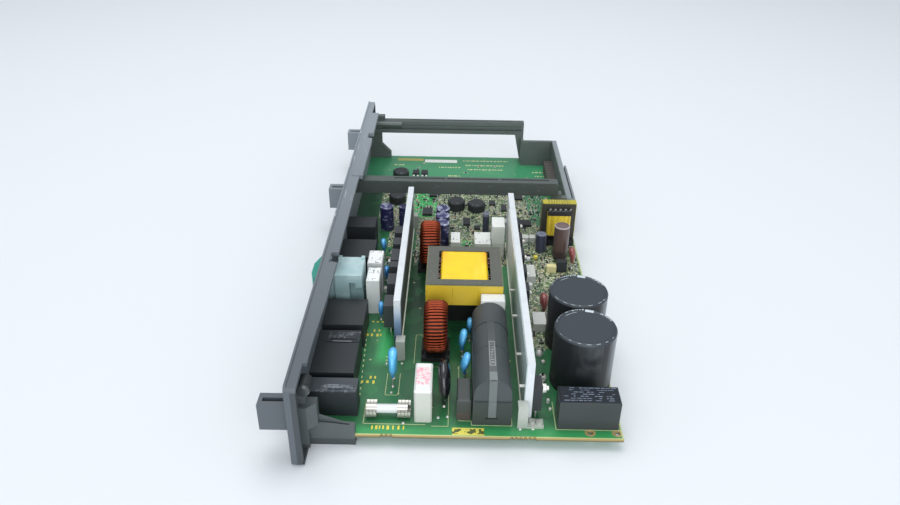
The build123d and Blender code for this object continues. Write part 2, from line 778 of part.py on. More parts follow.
with BuildPart() as fuse_clips:
    for x0, x1 in cap_spans:
        middle = (x0 + x1) / 2
        left, right = middle - clip_wide / 2, middle + clip_wide / 2
        slab(left, right, fuse_y - fuse_cap_r - clip_thick, fuse_y + fuse_cap_r + clip_thick,
             0, clip_thick)
        for y0 in (fuse_y - fuse_cap_r - clip_thick, fuse_y + fuse_cap_r):
            slab(left, right, y0, y0 + clip_thick, clip_thick, fuse_z + clip_arm)

with BuildPart() as flat_inductors:
    rows = [(x, arm_near + past, high) for x, past, high in flat_coils]
    rows.append((far_coil[0], board_length - far_coil[1], far_coil[2]))
    for x, y, high in rows:
        turned(x, y, [(0, 0), (flat_coil_r, 0), (flat_coil_r, high - 1), (flat_coil_r - 1, high),
                      (0, high)])

with BuildPart() as box_capacitors:
    for x, y, wide, deep, high in box_parts:
        slab(x - wide / 2, x + wide / 2, y - deep / 2, y + deep / 2, 0, high)

with BuildPart() as dipped_capacitors:
    for spec in red_discs:
        disc(*spec)

with BuildPart() as yellow_capacitor:
    slab(66.9, 73.6, 164, 168.4, 0, 5)

with BuildPart() as chip_packages:
    rows = [(x, arm_near + past, *size) for x, past, *size in chips]
    rows += [(x, board_length - back, *size) for x, back, *size in far_chips]
    for x, y, wide, deep, high in rows + [black_block]:
        slab(x - wide / 2, x + wide / 2, y - deep / 2, y + deep / 2, 0, high)

# trimmed leads below the board
lead_spots = ([(x + dx, y) for x, y in bulk_spots for dx in (-5, 5)]
              + [(relay_left + dx, relay_near + relay_deep / 2) for dx in (4, 12, 22, 29)]
              + [(x + dx, y + dy) for x, y in (near_choke, far_choke)
                 for dx in (-6, 6) for dy in (-8, 8)]
              + [(core_left + dx, y) for y in (core_near + 17, core_far - 17)
                 for dx in (6, 14, 23, 32, 40)]
              + [(x, y) for x, y, r, high in navy_left + navy_column + navy_right]
              + [(filter_mid + dx, y) for dx in (-6, 6) for y in (16, 66)])
with BuildPart() as solder_leads:
    for x, y in lead_spots:
        slab(x - 0.8, x + 0.8, y - 0.8, y + 0.8, -board_thick - 1.6, -board_thick)

pieces = {
    "circuit_board": circuit_board,
    "front_panel": front_panel,
    "guide_frame": guide_frame,
    "corner_bracket": corner_bracket,
    "corner_screw": corner_screw,
    "near_mains_connector": near_mains_connector,
    "middle_mains_connector": middle_mains_connector,
    "far_mains_connector": far_mains_connector,
    "near_signal_connector": near_signal_connector,
    "far_signal_connector": far_signal_connector,
    "connector_contacts": connector_contacts,
    "signal_housing": signal_housing,
    "signal_plug": signal_plug,
    "rear_connector": rear_connector,
    "rear_pins": rear_pins,
    "noise_capacitors": noise_capacitors,
    "left_heatsink": left_heatsink,
    "right_heatsink": right_heatsink,
    "heatsink_feet": heatsink_feet,
    "heatsink_screws": heatsink_screws,
    "left_devices": left_devices_part,
    "right_devices": right_devices_part,
    "device_legs": device_legs,
    "transformer_core": transformer_core,
    "transformer_winding": transformer_winding,
    "transformer_tape": transformer_tape,
    "transformer_bobbin": transformer_bobbin,
    "aux_transformer_core": aux_transformer_core,
    "aux_transformer_winding": aux_transformer_winding,
    "aux_transformer_base": aux_transformer_base,
    "aux_transformer_tape": aux_transformer_tape,
    "near_choke_core": near_choke_core,
    "near_choke_turns": near_choke_turns,
    "near_choke_base": near_choke_base,
    "far_choke_core": far_choke_core,
    "far_choke_turns": far_choke_turns,
    "far_choke_base": far_choke_base,
    "line_filter_case": line_filter_case,
    "line_filter_cap": line_filter_cap,
    "film_capacitor": film_capacitor,
    "line_capacitor": line_capacitor,
    "varistor": varistor,
    "small_relay": small_relay,
    "disc_capacitors": disc_capacitors,
    "near_bulk_capacitor": near_bulk_capacitor,
    "far_bulk_capacitor": far_bulk_capacitor,
    "relay": relay,
    "left_capacitors": left_capacitors,
    "column_capacitors": column_capacitors,
    "right_capacitors": right_capacitors,
    "brown_capacitor": brown_capacitor,
    "fuse_tube": fuse_tube,
    "fuse_caps": fuse_caps,
    "fuse_clips": fuse_clips,
    "flat_inductors": flat_inductors,
    "box_capacitors": box_capacitors,
    "dipped_capacitors": dipped_capacitors,
    "chip_packages": chip_packages,
    "yellow_capacitor": yellow_capacitor,
    "solder_leads": solder_leads,
}
for name, piece in pieces.items():
    piece.part.label = name
    export_step(piece.part, f"parts/{name}.step")
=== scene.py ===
import bpy
import bmesh
import json
import random
from math import cos, sin, pi, radians
from mathutils import Matrix, Vector
from mathutils.bvhtree import BVHTree


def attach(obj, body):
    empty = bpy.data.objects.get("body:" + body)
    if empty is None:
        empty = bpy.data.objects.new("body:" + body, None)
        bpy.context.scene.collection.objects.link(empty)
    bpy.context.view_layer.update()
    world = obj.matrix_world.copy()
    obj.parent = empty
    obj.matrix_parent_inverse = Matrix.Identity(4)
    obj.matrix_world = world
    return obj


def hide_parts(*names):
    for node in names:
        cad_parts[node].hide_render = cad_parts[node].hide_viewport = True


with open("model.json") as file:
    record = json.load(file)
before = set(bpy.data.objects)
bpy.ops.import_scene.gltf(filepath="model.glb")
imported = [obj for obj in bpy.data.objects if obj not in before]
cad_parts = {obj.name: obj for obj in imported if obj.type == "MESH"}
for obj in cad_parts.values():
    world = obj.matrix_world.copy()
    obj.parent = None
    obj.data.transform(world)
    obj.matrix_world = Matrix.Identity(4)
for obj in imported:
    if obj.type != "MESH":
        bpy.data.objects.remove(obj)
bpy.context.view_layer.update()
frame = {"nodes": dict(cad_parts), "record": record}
nodes = frame["nodes"]
link = bpy.context.scene.collection.objects.link

# Board coordinates in mm, as in the CAD source: X from the panel, Y along it, Z from the
# board's top face.
ORIGIN = Vector((-1.0, 185.3, -7.5))
# thickness of printed lines and of printed fields, in mm
LINE_HIGH, FIELD_HIGH = 0.04, 0.05


def at(x, y, z=0.0):
    """Board coordinates in mm to scene metres."""
    return (Vector((x, y, z)) - ORIGIN) / 1000


def tone(code):
    """Linear colour from a hex code."""
    parts = [int(code[i:i + 2], 16) / 255 for i in (1, 3, 5)]
    return tuple(c / 12.92 if c <= 0.04045 else ((c + 0.055) / 1.055) ** 2.4 for c in parts)


class Field:
    """A shader socket that takes part in sums and comparisons like a number."""

    def __init__(self, paint, socket):
        self.paint, self.socket = paint, socket

    def __add__(self, other): return self.paint.math("ADD", self, other)
    def __radd__(self, other): return self.paint.math("ADD", other, self)
    def __sub__(self, other): return self.paint.math("SUBTRACT", self, other)
    def __rsub__(self, other): return self.paint.math("SUBTRACT", other, self)
    def __mul__(self, other): return self.paint.math("MULTIPLY", self, other)
    def __gt__(self, other): return self.paint.math("GREATER_THAN", self, other)
    def __lt__(self, other): return self.paint.math("LESS_THAN", self, other)
    def __mod__(self, other): return self.paint.math("FLOORED_MODULO", self, other)
    def __abs__(self): return self.paint.math("ABSOLUTE", self)


class Paint:
    """One procedural material: constants sit on the shader, fields are wired in by name."""

    def __init__(self, name, color="#808080", rough=0.5, metal=0.0, coat=0.0, spec=0.5):
        self.material = bpy.data.materials.new(name)
        self.material.use_nodes = True
        self.tree = self.material.node_tree
        self.shader = self.tree.nodes["Principled BSDF"]
        self.color = tone(color) if isinstance(color, str) else color
        self.shader.inputs["Base Color"].default_value = (*self.color, 1)
        self.shader.inputs["Roughness"].default_value = rough
        self.shader.inputs["Metallic"].default_value = metal
        self.shader.inputs["Coat Weight"].default_value = coat
        self.shader.inputs["Specular IOR Level"].default_value = spec
        self.spot = self.node("ShaderNodeTexCoord", "Object")
        split = self.tree.nodes.new("ShaderNodeSeparateXYZ")
        self.feed(split.inputs[0], self.spot)
        self.x = Field(self, split.outputs[0]) * 1000 + ORIGIN.x
        self.y = Field(self, split.outputs[1]) * 1000 + ORIGIN.y
        self.z = Field(self, split.outputs[2]) * 1000 + ORIGIN.z

    def node(self, kind, output=0, inputs=None, **settings):
        """New shader node with its inputs set or wired; returns one of its outputs."""
        made = self.tree.nodes.new(kind)
        for key, value in settings.items():
            setattr(made, key, value)
        for key, value in (inputs or {}).items():
            self.feed(made.inputs[key], value)
        return Field(self, made.outputs[output])

    def feed(self, socket, value):
        """Wires a field, or sets a constant."""
        if isinstance(value, Field):
            self.tree.links.new(value.socket, socket)
        elif isinstance(value, (tuple, Vector)) and len(value) == 3 and socket.type == "RGBA":
            socket.default_value = (*value, 1)
        else:
            socket.default_value = value

    def math(self, operation, *values):
        inputs = {i: v for i, v in enumerate(values)}
        return self.node("ShaderNodeMath", inputs=inputs, operation=operation)

    def clamp(self, value):
        """Held between 0 and 1."""
        return self.node("ShaderNodeClamp", inputs={"Value": value})

    def ramp(self, value, low, high):
        """0 below low, 1 above high."""
        return self.node("ShaderNodeMapRange",
                         inputs={"Value": value, "From Min": low, "From Max": high})

    def noise(self, size, detail=2.0, stretch=(1, 1, 1)):
        """Soft noise with grains of about the given size in mm."""
        spot = self.node("ShaderNodeMapping", inputs={"Vector": self.spot, "Scale": Vector(stretch)})
        return self.node("ShaderNodeTexNoise", "Fac", {"Vector": spot, "Scale": 1000 / size,
                                                       "Detail": detail})

    def cells(self, size, output="Distance", metric="EUCLIDEAN", randomness=1.0):
        """Distance from scattered centres, in cell sizes."""
        inputs = {"Vector": self.spot, "Scale": 1000 / size, "Randomness": randomness}
        return self.node("ShaderNodeTexVoronoi", output, inputs, distance=metric)

    def chance(self, size, metric="CHEBYCHEV"):
        """One random value from 0 to 1 for each cell."""
        return self.node("ShaderNodeSeparateColor", 0, {0: self.cells(size, "Color", metric)})

    def mix(self, low, high, factor):
        """Colour low where factor is 0, high where it is 1, each a hex code, colour or field."""
        low, high = [tone(c) if isinstance(c, str) else c for c in (low, high)]
        return self.node("ShaderNodeMix", 2, {0: factor, 6: low, 7: high}, data_type="RGBA")

    def span(self, value, low, high):
        """1 between low and high."""
        return (value > low) * (value < high)

    def patch(self, x0, x1, y0, y1):
        """1 inside a rectangle seen from above."""
        return self.span(self.x, x0, x1) * self.span(self.y, y0, y1)

    def reach(self, x, y):
        """Distance from an upright line."""
        return self.math("SQRT", self.math("POWER", self.x - x, 2) + self.math("POWER", self.y - y, 2))

    def cover(self, tint, *layers):
        """Lays colours over a tint, each where its factor is 1."""
        for color, factor in layers:
            tint = self.mix(tint, color, factor)
        return tint

    def put(self, name, value):
        """Wires a field into one of the shader's inputs."""
        self.feed(self.shader.inputs[name], value)
        return self

    def bump(self, height, depth):
        """Height field 0 to 1, depth in mm."""
        inputs = {"Height": height, "Distance": depth / 1000}
        return self.put("Normal", self.node("ShaderNodeBump", inputs=inputs))


def plain(name, color, rough=0.5, metal=0.0, coat=0.0, grain=0.25, vary=0.12, relief=0.02,
          spec=0.5, marks=None):
    """Surface with fine grain, slow colour change and uneven gloss.

    marks is a function of the paint and its tint that adds what is this part's own.
    """
    p = Paint(name, color, rough, metal, coat, spec)
    slow, fine = p.noise(14.0, 3), p.noise(grain, 2)
    dark = tuple(c * (1 - vary) for c in p.color)
    light = tuple(min(c * (1 + vary), 1) for c in p.color)
    tint = p.mix(dark, light, slow)
    if marks:
        tint = marks(p, tint)
    p.put("Base Color", tint)
    p.put("Roughness", rough * 0.9 + fine * rough * 0.2)
    return p.bump(fine, relief)


def wear(node, paint):
    """Gives a CAD node its material."""
    slots = nodes[node].material_slots
    for s in slots:
        s.material = paint.material
    if not slots:
        nodes[node].data.materials.append(paint.material)


# shapes in board millimetres
class Shape:
    """Collects one piece's mesh."""

    def __init__(self):
        self.mesh = bmesh.new()

    def skin(self, rings):
        """Joins equal rings of points and closes both ends."""
        rows = [[self.mesh.verts.new(p) for p in ring] for ring in rings]
        count = len(rows[0])
        for a, b in zip(rows, rows[1:]):
            for i in range(count):
                j = (i + 1) % count
                self.mesh.faces.new((a[i], a[j], b[j], b[i]))
        self.mesh.faces.new(rows[0][::-1])
        self.mesh.faces.new(rows[-1])
        return self

    def block(self, x0, x1, y0, y1, z0, z1, soft=0.0):
        """Box, with cut edges where soft isn't 0."""
        def ring(z, inset):
            a, b, c, d = x0 + inset, x1 - inset, y0 + inset, y1 - inset
            s = soft
            if not s:
                return [(a, c, z), (b, c, z), (b, d, z), (a, d, z)]
            return [(a + s, c, z), (b - s, c, z), (b, c + s, z), (b, d - s, z),
                    (b - s, d, z), (a + s, d, z), (a, d - s, z), (a, c + s, z)]
        if not soft:
            return self.skin([ring(z0, 0), ring(z1, 0)])
        return self.skin([ring(z0, soft), ring(z0 + soft, 0), ring(z1 - soft, 0), ring(z1, soft)])

    def rod(self, points, r, sides=8):
        """Round bar along a line of points, with one radius or one for each."""
        line = [Vector(p) for p in points]
        radii = r if isinstance(r, (list, tuple)) else [r] * len(line)
        side, rings = None, []
        for i, spot in enumerate(line):
            ahead = (line[min(i + 1, len(line) - 1)] - line[max(i - 1, 0)]).normalized()
            side = ahead.orthogonal() if side is None else side - ahead * side.dot(ahead)
            side.normalize()
            other = ahead.cross(side)
            turns = [2 * pi * k / sides for k in range(sides)]
            rings.append([spot + (side * cos(t) + other * sin(t)) * radii[i] for t in turns])
        return self.skin(rings)

    def lathe(self, x, y, profile, sides=40):
        """Round body about an upright line: profile is (radius, height)."""
        turns = [2 * pi * k / sides for k in range(sides)]
        return self.skin([[(x + r * cos(t), y + r * sin(t), z) for t in turns] for r, z in profile])

    def band(self, points, x0, x1, thick):
        """Strip across X that follows a line of (y, z) points, thick to its left."""
        rings = []
        for i, (y, z) in enumerate(points):
            a, b = points[max(i - 1, 0)], points[min(i + 1, len(points) - 1)]
            way = Vector((b[0] - a[0], b[1] - a[1])).normalized() * thick
            inner_y, inner_z = y - way.y, z + way.x
            rings.append([(x0, y, z), (x1, y, z), (x1, inner_y, inner_z), (x0, inner_y, inner_z)])
        return self.skin(rings)

    def outline(self, points, wide=0.35):
        """Printed line on the board, in straight strokes."""
        h = wide / 2
        for (xa, ya), (xb, yb) in zip(points, points[1:]):
            self.block(min(xa, xb) - h, max(xa, xb) + h, min(ya, yb) - h, max(ya, yb) + h,
                       0, LINE_HIGH)

    def finish(self, name, paint, slot, replaces=(), smooth=38):
        """The mesh as a piece of the part."""
        bmesh.ops.recalc_face_normals(self.mesh, faces=self.mesh.faces)
        for v in self.mesh.verts:
            v.co = at(*v.co)
        data = bpy.data.meshes.new(name)
        self.mesh.to_mesh(data)
        self.mesh.free()
        return piece(name, data, paint, replaces, smooth)


def piece(name, data, paint, replaces=(), smooth=38):
    """A named piece on the one body: its material and the CAD nodes it stands for."""
    data.materials.clear()
    data.materials.append(paint.material)
    data.shade_smooth()
    data.set_sharp_from_angle(angle=radians(smooth))
    made = bpy.data.objects.new(name, data)
    link(made)
    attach(made, "root")
    if replaces:
        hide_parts(*replaces)
    return made


def copies_tree():
    """Sets the shape on every point, turned and sized by the point's own values."""
    tree = bpy.data.node_groups.new("Copies", "GeometryNodeTree")
    face = tree.interface
    face.new_socket("Points", in_out="INPUT", socket_type="NodeSocketGeometry")
    face.new_socket("Shape", in_out="INPUT", socket_type="NodeSocketObject")
    face.new_socket("Material", in_out="INPUT", socket_type="NodeSocketMaterial")
    face.new_socket("Copies", in_out="OUTPUT", socket_type="NodeSocketGeometry")

    def add(kind, inputs=None, **settings):
        made = tree.nodes.new(kind)
        for key, value in settings.items():
            setattr(made, key, value)
        for key, value in (inputs or {}).items():
            if isinstance(value, bpy.types.NodeSocket):
                tree.links.new(value, made.inputs[key])
            else:
                made.inputs[key].default_value = value
        return made

    given = add("NodeGroupInput").outputs
    shape = add("GeometryNodeObjectInfo", {"Object": given["Shape"]}).outputs["Geometry"]
    turn, size = [add("GeometryNodeInputNamedAttribute", {"Name": name},
                      data_type="FLOAT_VECTOR").outputs[0] for name in ("turn", "size")]
    turned = add("FunctionNodeEulerToRotation", {0: turn}).outputs[0]
    placed = add("GeometryNodeInstanceOnPoints", {"Points": given["Points"], "Instance": shape,
                                                  "Rotation": turned, "Scale": size}).outputs[0]
    solid = add("GeometryNodeRealizeInstances", {"Geometry": placed}).outputs[0]
    worn = add("GeometryNodeSetMaterial",
               {"Geometry": solid, "Material": given["Material"]}).outputs[0]
    add("NodeGroupOutput", {"Copies": worn})
    return tree


COPIES = copies_tree()


def copies(name, shape, places, paint, replaces=(), smooth=38):
    """One piece made of the shape at each place: (x, y, z), turn about each axis, size along each."""
    bmesh.ops.recalc_face_normals(shape.mesh, faces=shape.mesh.faces)
    for v in shape.mesh.verts:
        v.co /= 1000
    pattern = bpy.data.objects.new("Pattern", bpy.data.meshes.new("Pattern"))
    shape.mesh.to_mesh(pattern.data)
    shape.mesh.free()
    points = bpy.data.meshes.new("Points")
    points.from_pydata([at(*spot) for spot, _, _ in places], [], [])
    for key, column in (("turn", 1), ("size", 2)):
        values = [v for place in places for v in place[column]]
        points.attributes.new(key, "FLOAT_VECTOR", "POINT").data.foreach_set("vector", values)
    carrier = bpy.data.objects.new("Carrier", points)
    for o in (pattern, carrier):
        link(o)
    step = carrier.modifiers.new("Copies", "NODES")
    step.node_group = COPIES
    for socket in COPIES.interface.items_tree:
        if socket.name == "Shape":
            step[socket.identifier] = pattern
        if socket.name == "Material":
            step[socket.identifier] = paint.material
    bpy.context.view_layer.update()
    graph = bpy.context.evaluated_depsgraph_get()
    data = bpy.data.meshes.new_from_object(carrier.evaluated_get(graph))
    data.name = name
    for o in (carrier, pattern):
        bpy.data.objects.remove(o)
    return piece(name, data, paint, replaces, smooth)


FLAT, ACROSS = (0, 0, 0), (0, 0, pi / 2)
FULL = (1, 1, 1)


# the board's plated holes, the radius of their bare rings, and the level of its underside
PLATED_HOLES, PLATED_RING = ((75.0, 4.6), (89.5, 4.6)), 2.9
UNDERSIDE = -1.98
# middles of the two large round capacitors
NEAR_CAN, FAR_CAN = (74.9, 47.9), (75.7, 84.5)


# materials
def board_paint():
    """Green mask with light and shade, crowded stretches, bare rings, strips and cut edges."""
    p = Paint("Board_Laminate", "#24824b", 0.3, coat=0.3)
    weave, slow, blot = p.noise(0.8, 2), p.noise(30, 2), p.noise(7, 3)
    # light beside the left bar
    sunny = (p.ramp(p.y, 56, 66) * p.ramp(p.x, -35, -39) * p.ramp(p.y, 98, 90)
             * p.ramp(p.x, -47, -42))
    # shade between the bars, behind the panel and beside the right bar
    between = (p.ramp(p.x, -30.2, -29.8) * p.ramp(p.x, 12, 4) * p.ramp(p.y, 48, 66)
               * p.ramp(p.y, 190, 172))
    behind = p.ramp(p.x, -52, -62) * p.ramp(p.y, 90, 110)
    beside = p.ramp(p.x, 44, 45) * p.ramp(p.x, 58, 54) * p.ramp(p.y, 8, 16)
    # painted shade round the parts near the front middle
    around = (p.ramp(p.x, -32, -27) * p.ramp(p.x, 8, 3) * p.ramp(p.y, 10, 16)
              * p.ramp(p.y, 62, 54))
    # deeper painted shade between the left bar and the chokes, and along the panel
    deep = p.clamp(p.ramp(p.y, 84, 120) * p.ramp(p.x, -30, -29) * p.ramp(p.x, -8, -16)
                   * p.ramp(p.y, 196, 186) + p.ramp(p.x, -49, -64) * p.ramp(p.y, 90, 130))
    # copper areas show through the mask
    area = p.chance(11, "MANHATTAN")
    # the lighter strip along the near edge is a painted reflection and the sunny patch is painted
    # light; the between, behind, beside, around and deep zones are painted shade
    green = p.cover(p.mix("#215c39", "#398352", slow), ("#379a58", p.ramp(p.y, 9, 4) * 0.8),
                    ("#40b768", sunny * 0.85),
                    ("#1b5c36", p.clamp(between + behind + beside) * 0.8),
                    ("#1d3f2a", around * 0.4), ("#142a1d", deep * 0.7),
                    ("#3f9468", p.ramp(p.y, 290, 312) * 0.8), ("#57bb6c", (area > 0.78) * 0.09))
    # crowded stretches: pads, print and holes too small to be parts
    crowd = p.clamp(p.patch(-28, 39, 171, 300) + p.patch(-60, 60, 241, 296)
                    + p.patch(45, 66, 76, 240) + p.patch(64, 91, 102, 232)
                    + p.patch(-49, -36, 196, 296))
    vivid = p.clamp(p.patch(-36, -14, 245, 290) + p.patch(-1, 14, 200, 208) * 0.6)
    muted = p.mix("#3a5f42", "#6b7f58", blot)
    first, second, third = p.chance(0.75), p.chance(1.05), p.chance(2.6)
    busy = p.clamp(crowd * (1 - vivid) * (blot > 0.42))
    green = p.cover(green, (muted, crowd * (1 - vivid) * 0.9), ("#35b45c", vivid * 0.8),
                    ("#b4b68a", busy * (first > 0.62) * 0.75),
                    ("#d8d9bd", busy * (second > 0.9) * 0.9),
                    ("#20281f", crowd * (second < 0.17) * 0.85),
                    ("#2a3a2b", crowd * (third < 0.12) * 0.8),
                    ("#e6e6d6", crowd * (first > 0.965)),
                    ("#b9bb8c", (p.cells(9.5) < 0.075) * (1 - crowd)))
    # bare rings round the plated holes and bare strips along the cut edges
    rings = 0
    for x, y in PLATED_HOLES:
        rings = rings + (p.reach(x, y) < PLATED_RING)
    strips = p.clamp((p.y < 0.8) + (p.x > 91.5))
    green = p.cover(green, ("#a58f5e", p.clamp(rings)), ("#c2c98a", strips))
    # underside with its pads, and the cut edge between the two faces
    pads = p.cells(6.0, randomness=0.9) < 0.16
    under = p.mix("#2b8f52", "#49ad66", area > 0.6)
    green = p.mix(green, p.mix(under, "#b7b8b0", pads), p.z < UNDERSIDE)
    core = p.mix("#a58d55", "#5d5a3c", p.ramp(p.z, -0.9, -1.6))
    p.put("Base Color", p.mix(green, core, p.span(p.z, UNDERSIDE, -0.02)))
    p.put("Roughness", 0.26 + weave * 0.14)
    return p.bump(weave, 0.04)


def panel_marks(p, tint):
    """Paler towards the far end as a painted reflection, darker inside as painted shade, with rubbed
    edges and fine scratches.
    """
    inner = (p.x > -77.9) * (p.z < 41.8)
    worn = p.clamp(p.span(p.y, 150, 215) + p.span(p.y, 240, 330))
    rub = p.noise(3, 3, stretch=(1, 0.16, 1)) > 0.6
    edge = (p.x < -79.9) * (p.z > 44.0) * rub * worn
    hair = (p.noise(1.6, 3, stretch=(1.3, 0.09, 1)) > 0.655) * (p.z > 43.9) * worn
    dents = p.clamp(p.patch(-72.2, -68, 298, 309) + p.patch(-76, -70, 101, 113))
    return p.cover(p.mix("#545b61", "#868e95", p.ramp(p.y, 10, 330)), ("#3d4347", inner),
                   ("#c6cdd2", edge * 0.6), ("#b4bbc0", hair * 0.45),
                   ("#2c3033", dents * (p.noise(3, 2) > 0.45) * 0.8))


def frame_marks(p, tint):
    """Painted light and shade: upright faces catch more light than the tops, so the tops and the arm
    are painted darker, the outer side wall and its lip paler, with painted shadow lines at the far
    rail's ridges; pale scuffs.
    """
    top = p.clamp((p.z > 37.3) * (p.y < 260) + (p.z > 36.8) * (p.y > 350))
    arm = (p.y < 234) * (p.x < 86) * (p.z > 9) * (p.z < 37.3)
    wall = p.clamp((p.x > 88) * (p.z > 20))
    lip = (p.x > 91.6) * (p.y < 304)
    ridge_shadows = p.clamp(p.span(p.z, 29.6, 30.4) + p.span(p.z, 33.4, 34.0)) * (p.y > 345) * (p.x < 60)
    scuff = p.noise(3.0, 4, stretch=(0.4, 1, 3)) > 0.66
    return p.cover(tint, ("#4d5553", top), ("#3f4744", arm), ("#8b9499", wall * 0.75),
                   ("#6d7478", lip * 0.6), ("#262b2a", ridge_shadows * 0.8), ("#8b918f", scuff * 0.22))


def bracket_marks(p, tint):
    """The boss behind the screw and the foot lie in shade."""
    return p.cover(tint, ("#22282a", p.z > 29.0), ("#34393b", (p.z < -3.2) * 0.8))


def top_marks(color, level):
    """Another colour above a level."""
    return lambda p, tint: p.mix(tint, color, p.z > level)


def socket_marks(p, tint):
    """Speckled print along the near part of each top."""
    zone = p.clamp(p.patch(-72, -50, 14, 19) + p.patch(-72, -52, 60, 67)) * (p.z > 16.5)
    worn = p.noise(1.0, 4) * p.noise(5, 2)
    # the sides below the top are darkened as painted shade
    tint = p.mix(tint, "#22262a", (p.z < 16.8) * 0.8)
    return p.mix(tint, "#8d949b", zone * p.ramp(worn, 0.24, 0.36) * 0.55)


def housing_marks(p, tint):
    """Pale cloudy patches on top as painted highlight, and the near face darkened in cloudy patches
    towards its foot as painted shade.
    """
    low = p.ramp(p.z, 30, 20) * p.noise(11, 3)
    tint = p.mix(tint, "#5f7a78", low * 1.1)
    return p.mix(tint, "#d0dede", (p.z > 29.2) * p.ramp(p.noise(9, 2), 0.42, 0.66) * 0.4)


def pink_print(p, tint):
    """Uneven pink field on a white top, with the sides greyer as painted shade."""
    field = p.patch(-18.7, -10.8, 15.8, 30.2) * (p.z > 21.4)
    uneven = p.clamp(p.chance(0.9) * 1.6 - 0.35)
    return p.cover(tint, ("#c3c5bd", p.z < 20.5), ("#f0a3b4", field * uneven))


def case_print(level, side, high=99.0):
    """Grey printed strokes on the tops of white cases, and a darker tint below the top as painted
    shade on the sides.
    """
    def marks(p, tint):
        top = p.span(p.z, level, high)
        stroke = p.clamp(p.span(p.y % 3.3, 0, 0.7) + p.span(p.x % 2.7, 0, 0.7))
        spots = stroke * (p.noise(2.0, 2) > 0.56) * top * p.span(p.y % 13, 2, 9)
        tint = p.mix(tint, side, 1 - (p.z > level))
        return p.mix(tint, "#4d5257", spots * 0.7)
    return marks


def filter_marks(p, tint):
    """A fine seam across the arch, a painted shadow line at the joint before the higher end cap, and
    darker below the arch.
    """
    seam = p.span(p.y, 39.4, 39.9) * (p.z > 15.7)
    return p.cover(tint, ("#2a2e31", seam), ("#191c1e", p.span(p.y, 61.6, 62.8)),
                   ("#3b413f", p.z < 15.6))


def bulk_marks(x, y):
    """Reflections round a large sleeve at a place, and its paler lid."""
    def marks(p, tint):
        pale = p.ramp(p.x, x + 11, x + 16) * p.ramp(p.z, 4, 14)
        window = p.span(p.x, x - 6, x + 8) * p.ramp(p.z, 14, 24) * p.ramp(p.y, y, y - 8)
        cloud = p.ramp(p.noise(14, 3), 0.4, 0.55)
        return p.cover(tint, ("#8b9197", pale * 0.75), ("#4c5155", window * cloud * 0.6),
                       ("#181a1c", p.ramp(p.x, x + 2, x - 12) * 0.7), ("#373e44", p.z > 37.0))
    return marks


def navy_marks(p, tint):
    """Pale squares down the sleeve and a vented lid mottled between navy and silver by painted
    reflections.
    """
    squares = p.span(p.z % 3.0, 0, 1.6) * (p.chance(2.4) > 0.72) * (p.z < 18)
    tint = p.mix(tint, "#8d92b5", squares * 0.6)
    lid = p.mix("#45466e", "#b4b8d0", p.ramp(p.noise(4.5, 2), 0.46, 0.6))
    return p.mix(tint, lid, p.z > 19.2)


def brown_marks(p, tint):
    """Darker foot, pale rim and a duller lid inside it."""
    tint = p.mix("#3f3230", tint, p.ramp(p.z, 7.5, 8.5))
    top, lid = p.z > 26.8, p.reach(78.2, 184.5) < 4.7
    return p.cover(tint, ("#a39a9a", top), ("#6a5a59", top * lid))


def core_marks(p, tint):
    """Rough sintered grain, and painted shade darkening the core below its top."""
    rough = p.noise(1.2, 3)
    return p.cover(tint, ("#868a80", (rough > 0.6) * 0.25), ("#23221e", (p.z < 36.9) * 0.6))


def winding_marks(p, tint):
    """Clear bright tape over yellow, warmer towards the corners, with painted highlights along its
    creases.
    """
    corner = p.ramp(abs(p.x - 7.4), 9, 15) * p.ramp(p.y, 112, 131)
    tint = p.mix(tint, "#f7a02c", corner * 0.85)
    crease_highlight = p.noise(9, 3, stretch=(1, 0.3, 1))
    return p.mix(tint, "#ffe95a", p.ramp(crease_highlight, 0.5, 0.7) * 0.3)


def tape_marks(p, tint):
    """Grey band on top and folded seams."""
    tint = p.mix(tint, "#6f7355", p.z > 36.4)
    fold = p.span(p.x % 15.7, 0, 0.5) * (p.noise(4, 2) > 0.5)
    return p.mix(tint, "#8b7412", fold * 0.5)


def aux_tape_marks(p, tint):
    """Left side darkened as painted shade, and a row of dark dashes along the top."""
    tint = p.mix(tint, "#5d5c3e", p.x < 66.3)
    row = p.patch(70, 86, 190, 230) * (p.z > 30)
    dash = p.span(p.x % 1.9, 0, 1.0) * (p.noise(1.2, 2) > 0.44) * row
    return p.mix(tint, "#6b6940", dash * 0.8)


def bar_marks(p, tint):
    """Sawn faces with long draw lines and dull spots, and a painted cold reflection at the near end
    that darkens to painted shade towards its foot.
    """
    drawn = p.noise(0.7, 2, stretch=(1, 0.02, 1))
    cold = (p.x < -29) * (p.y < 69)
    return p.cover(tint, ("#c3cbd2", drawn * 0.5), ("#7fa3cb", cold * p.ramp(p.z, 36, 22) * 0.9),
                   ("#2b465f", cold * p.ramp(p.z, 30, 12) * 0.95),
                   ("#a3afb4", p.ramp(p.noise(7, 4), 0.5, 0.66) * 0.2))


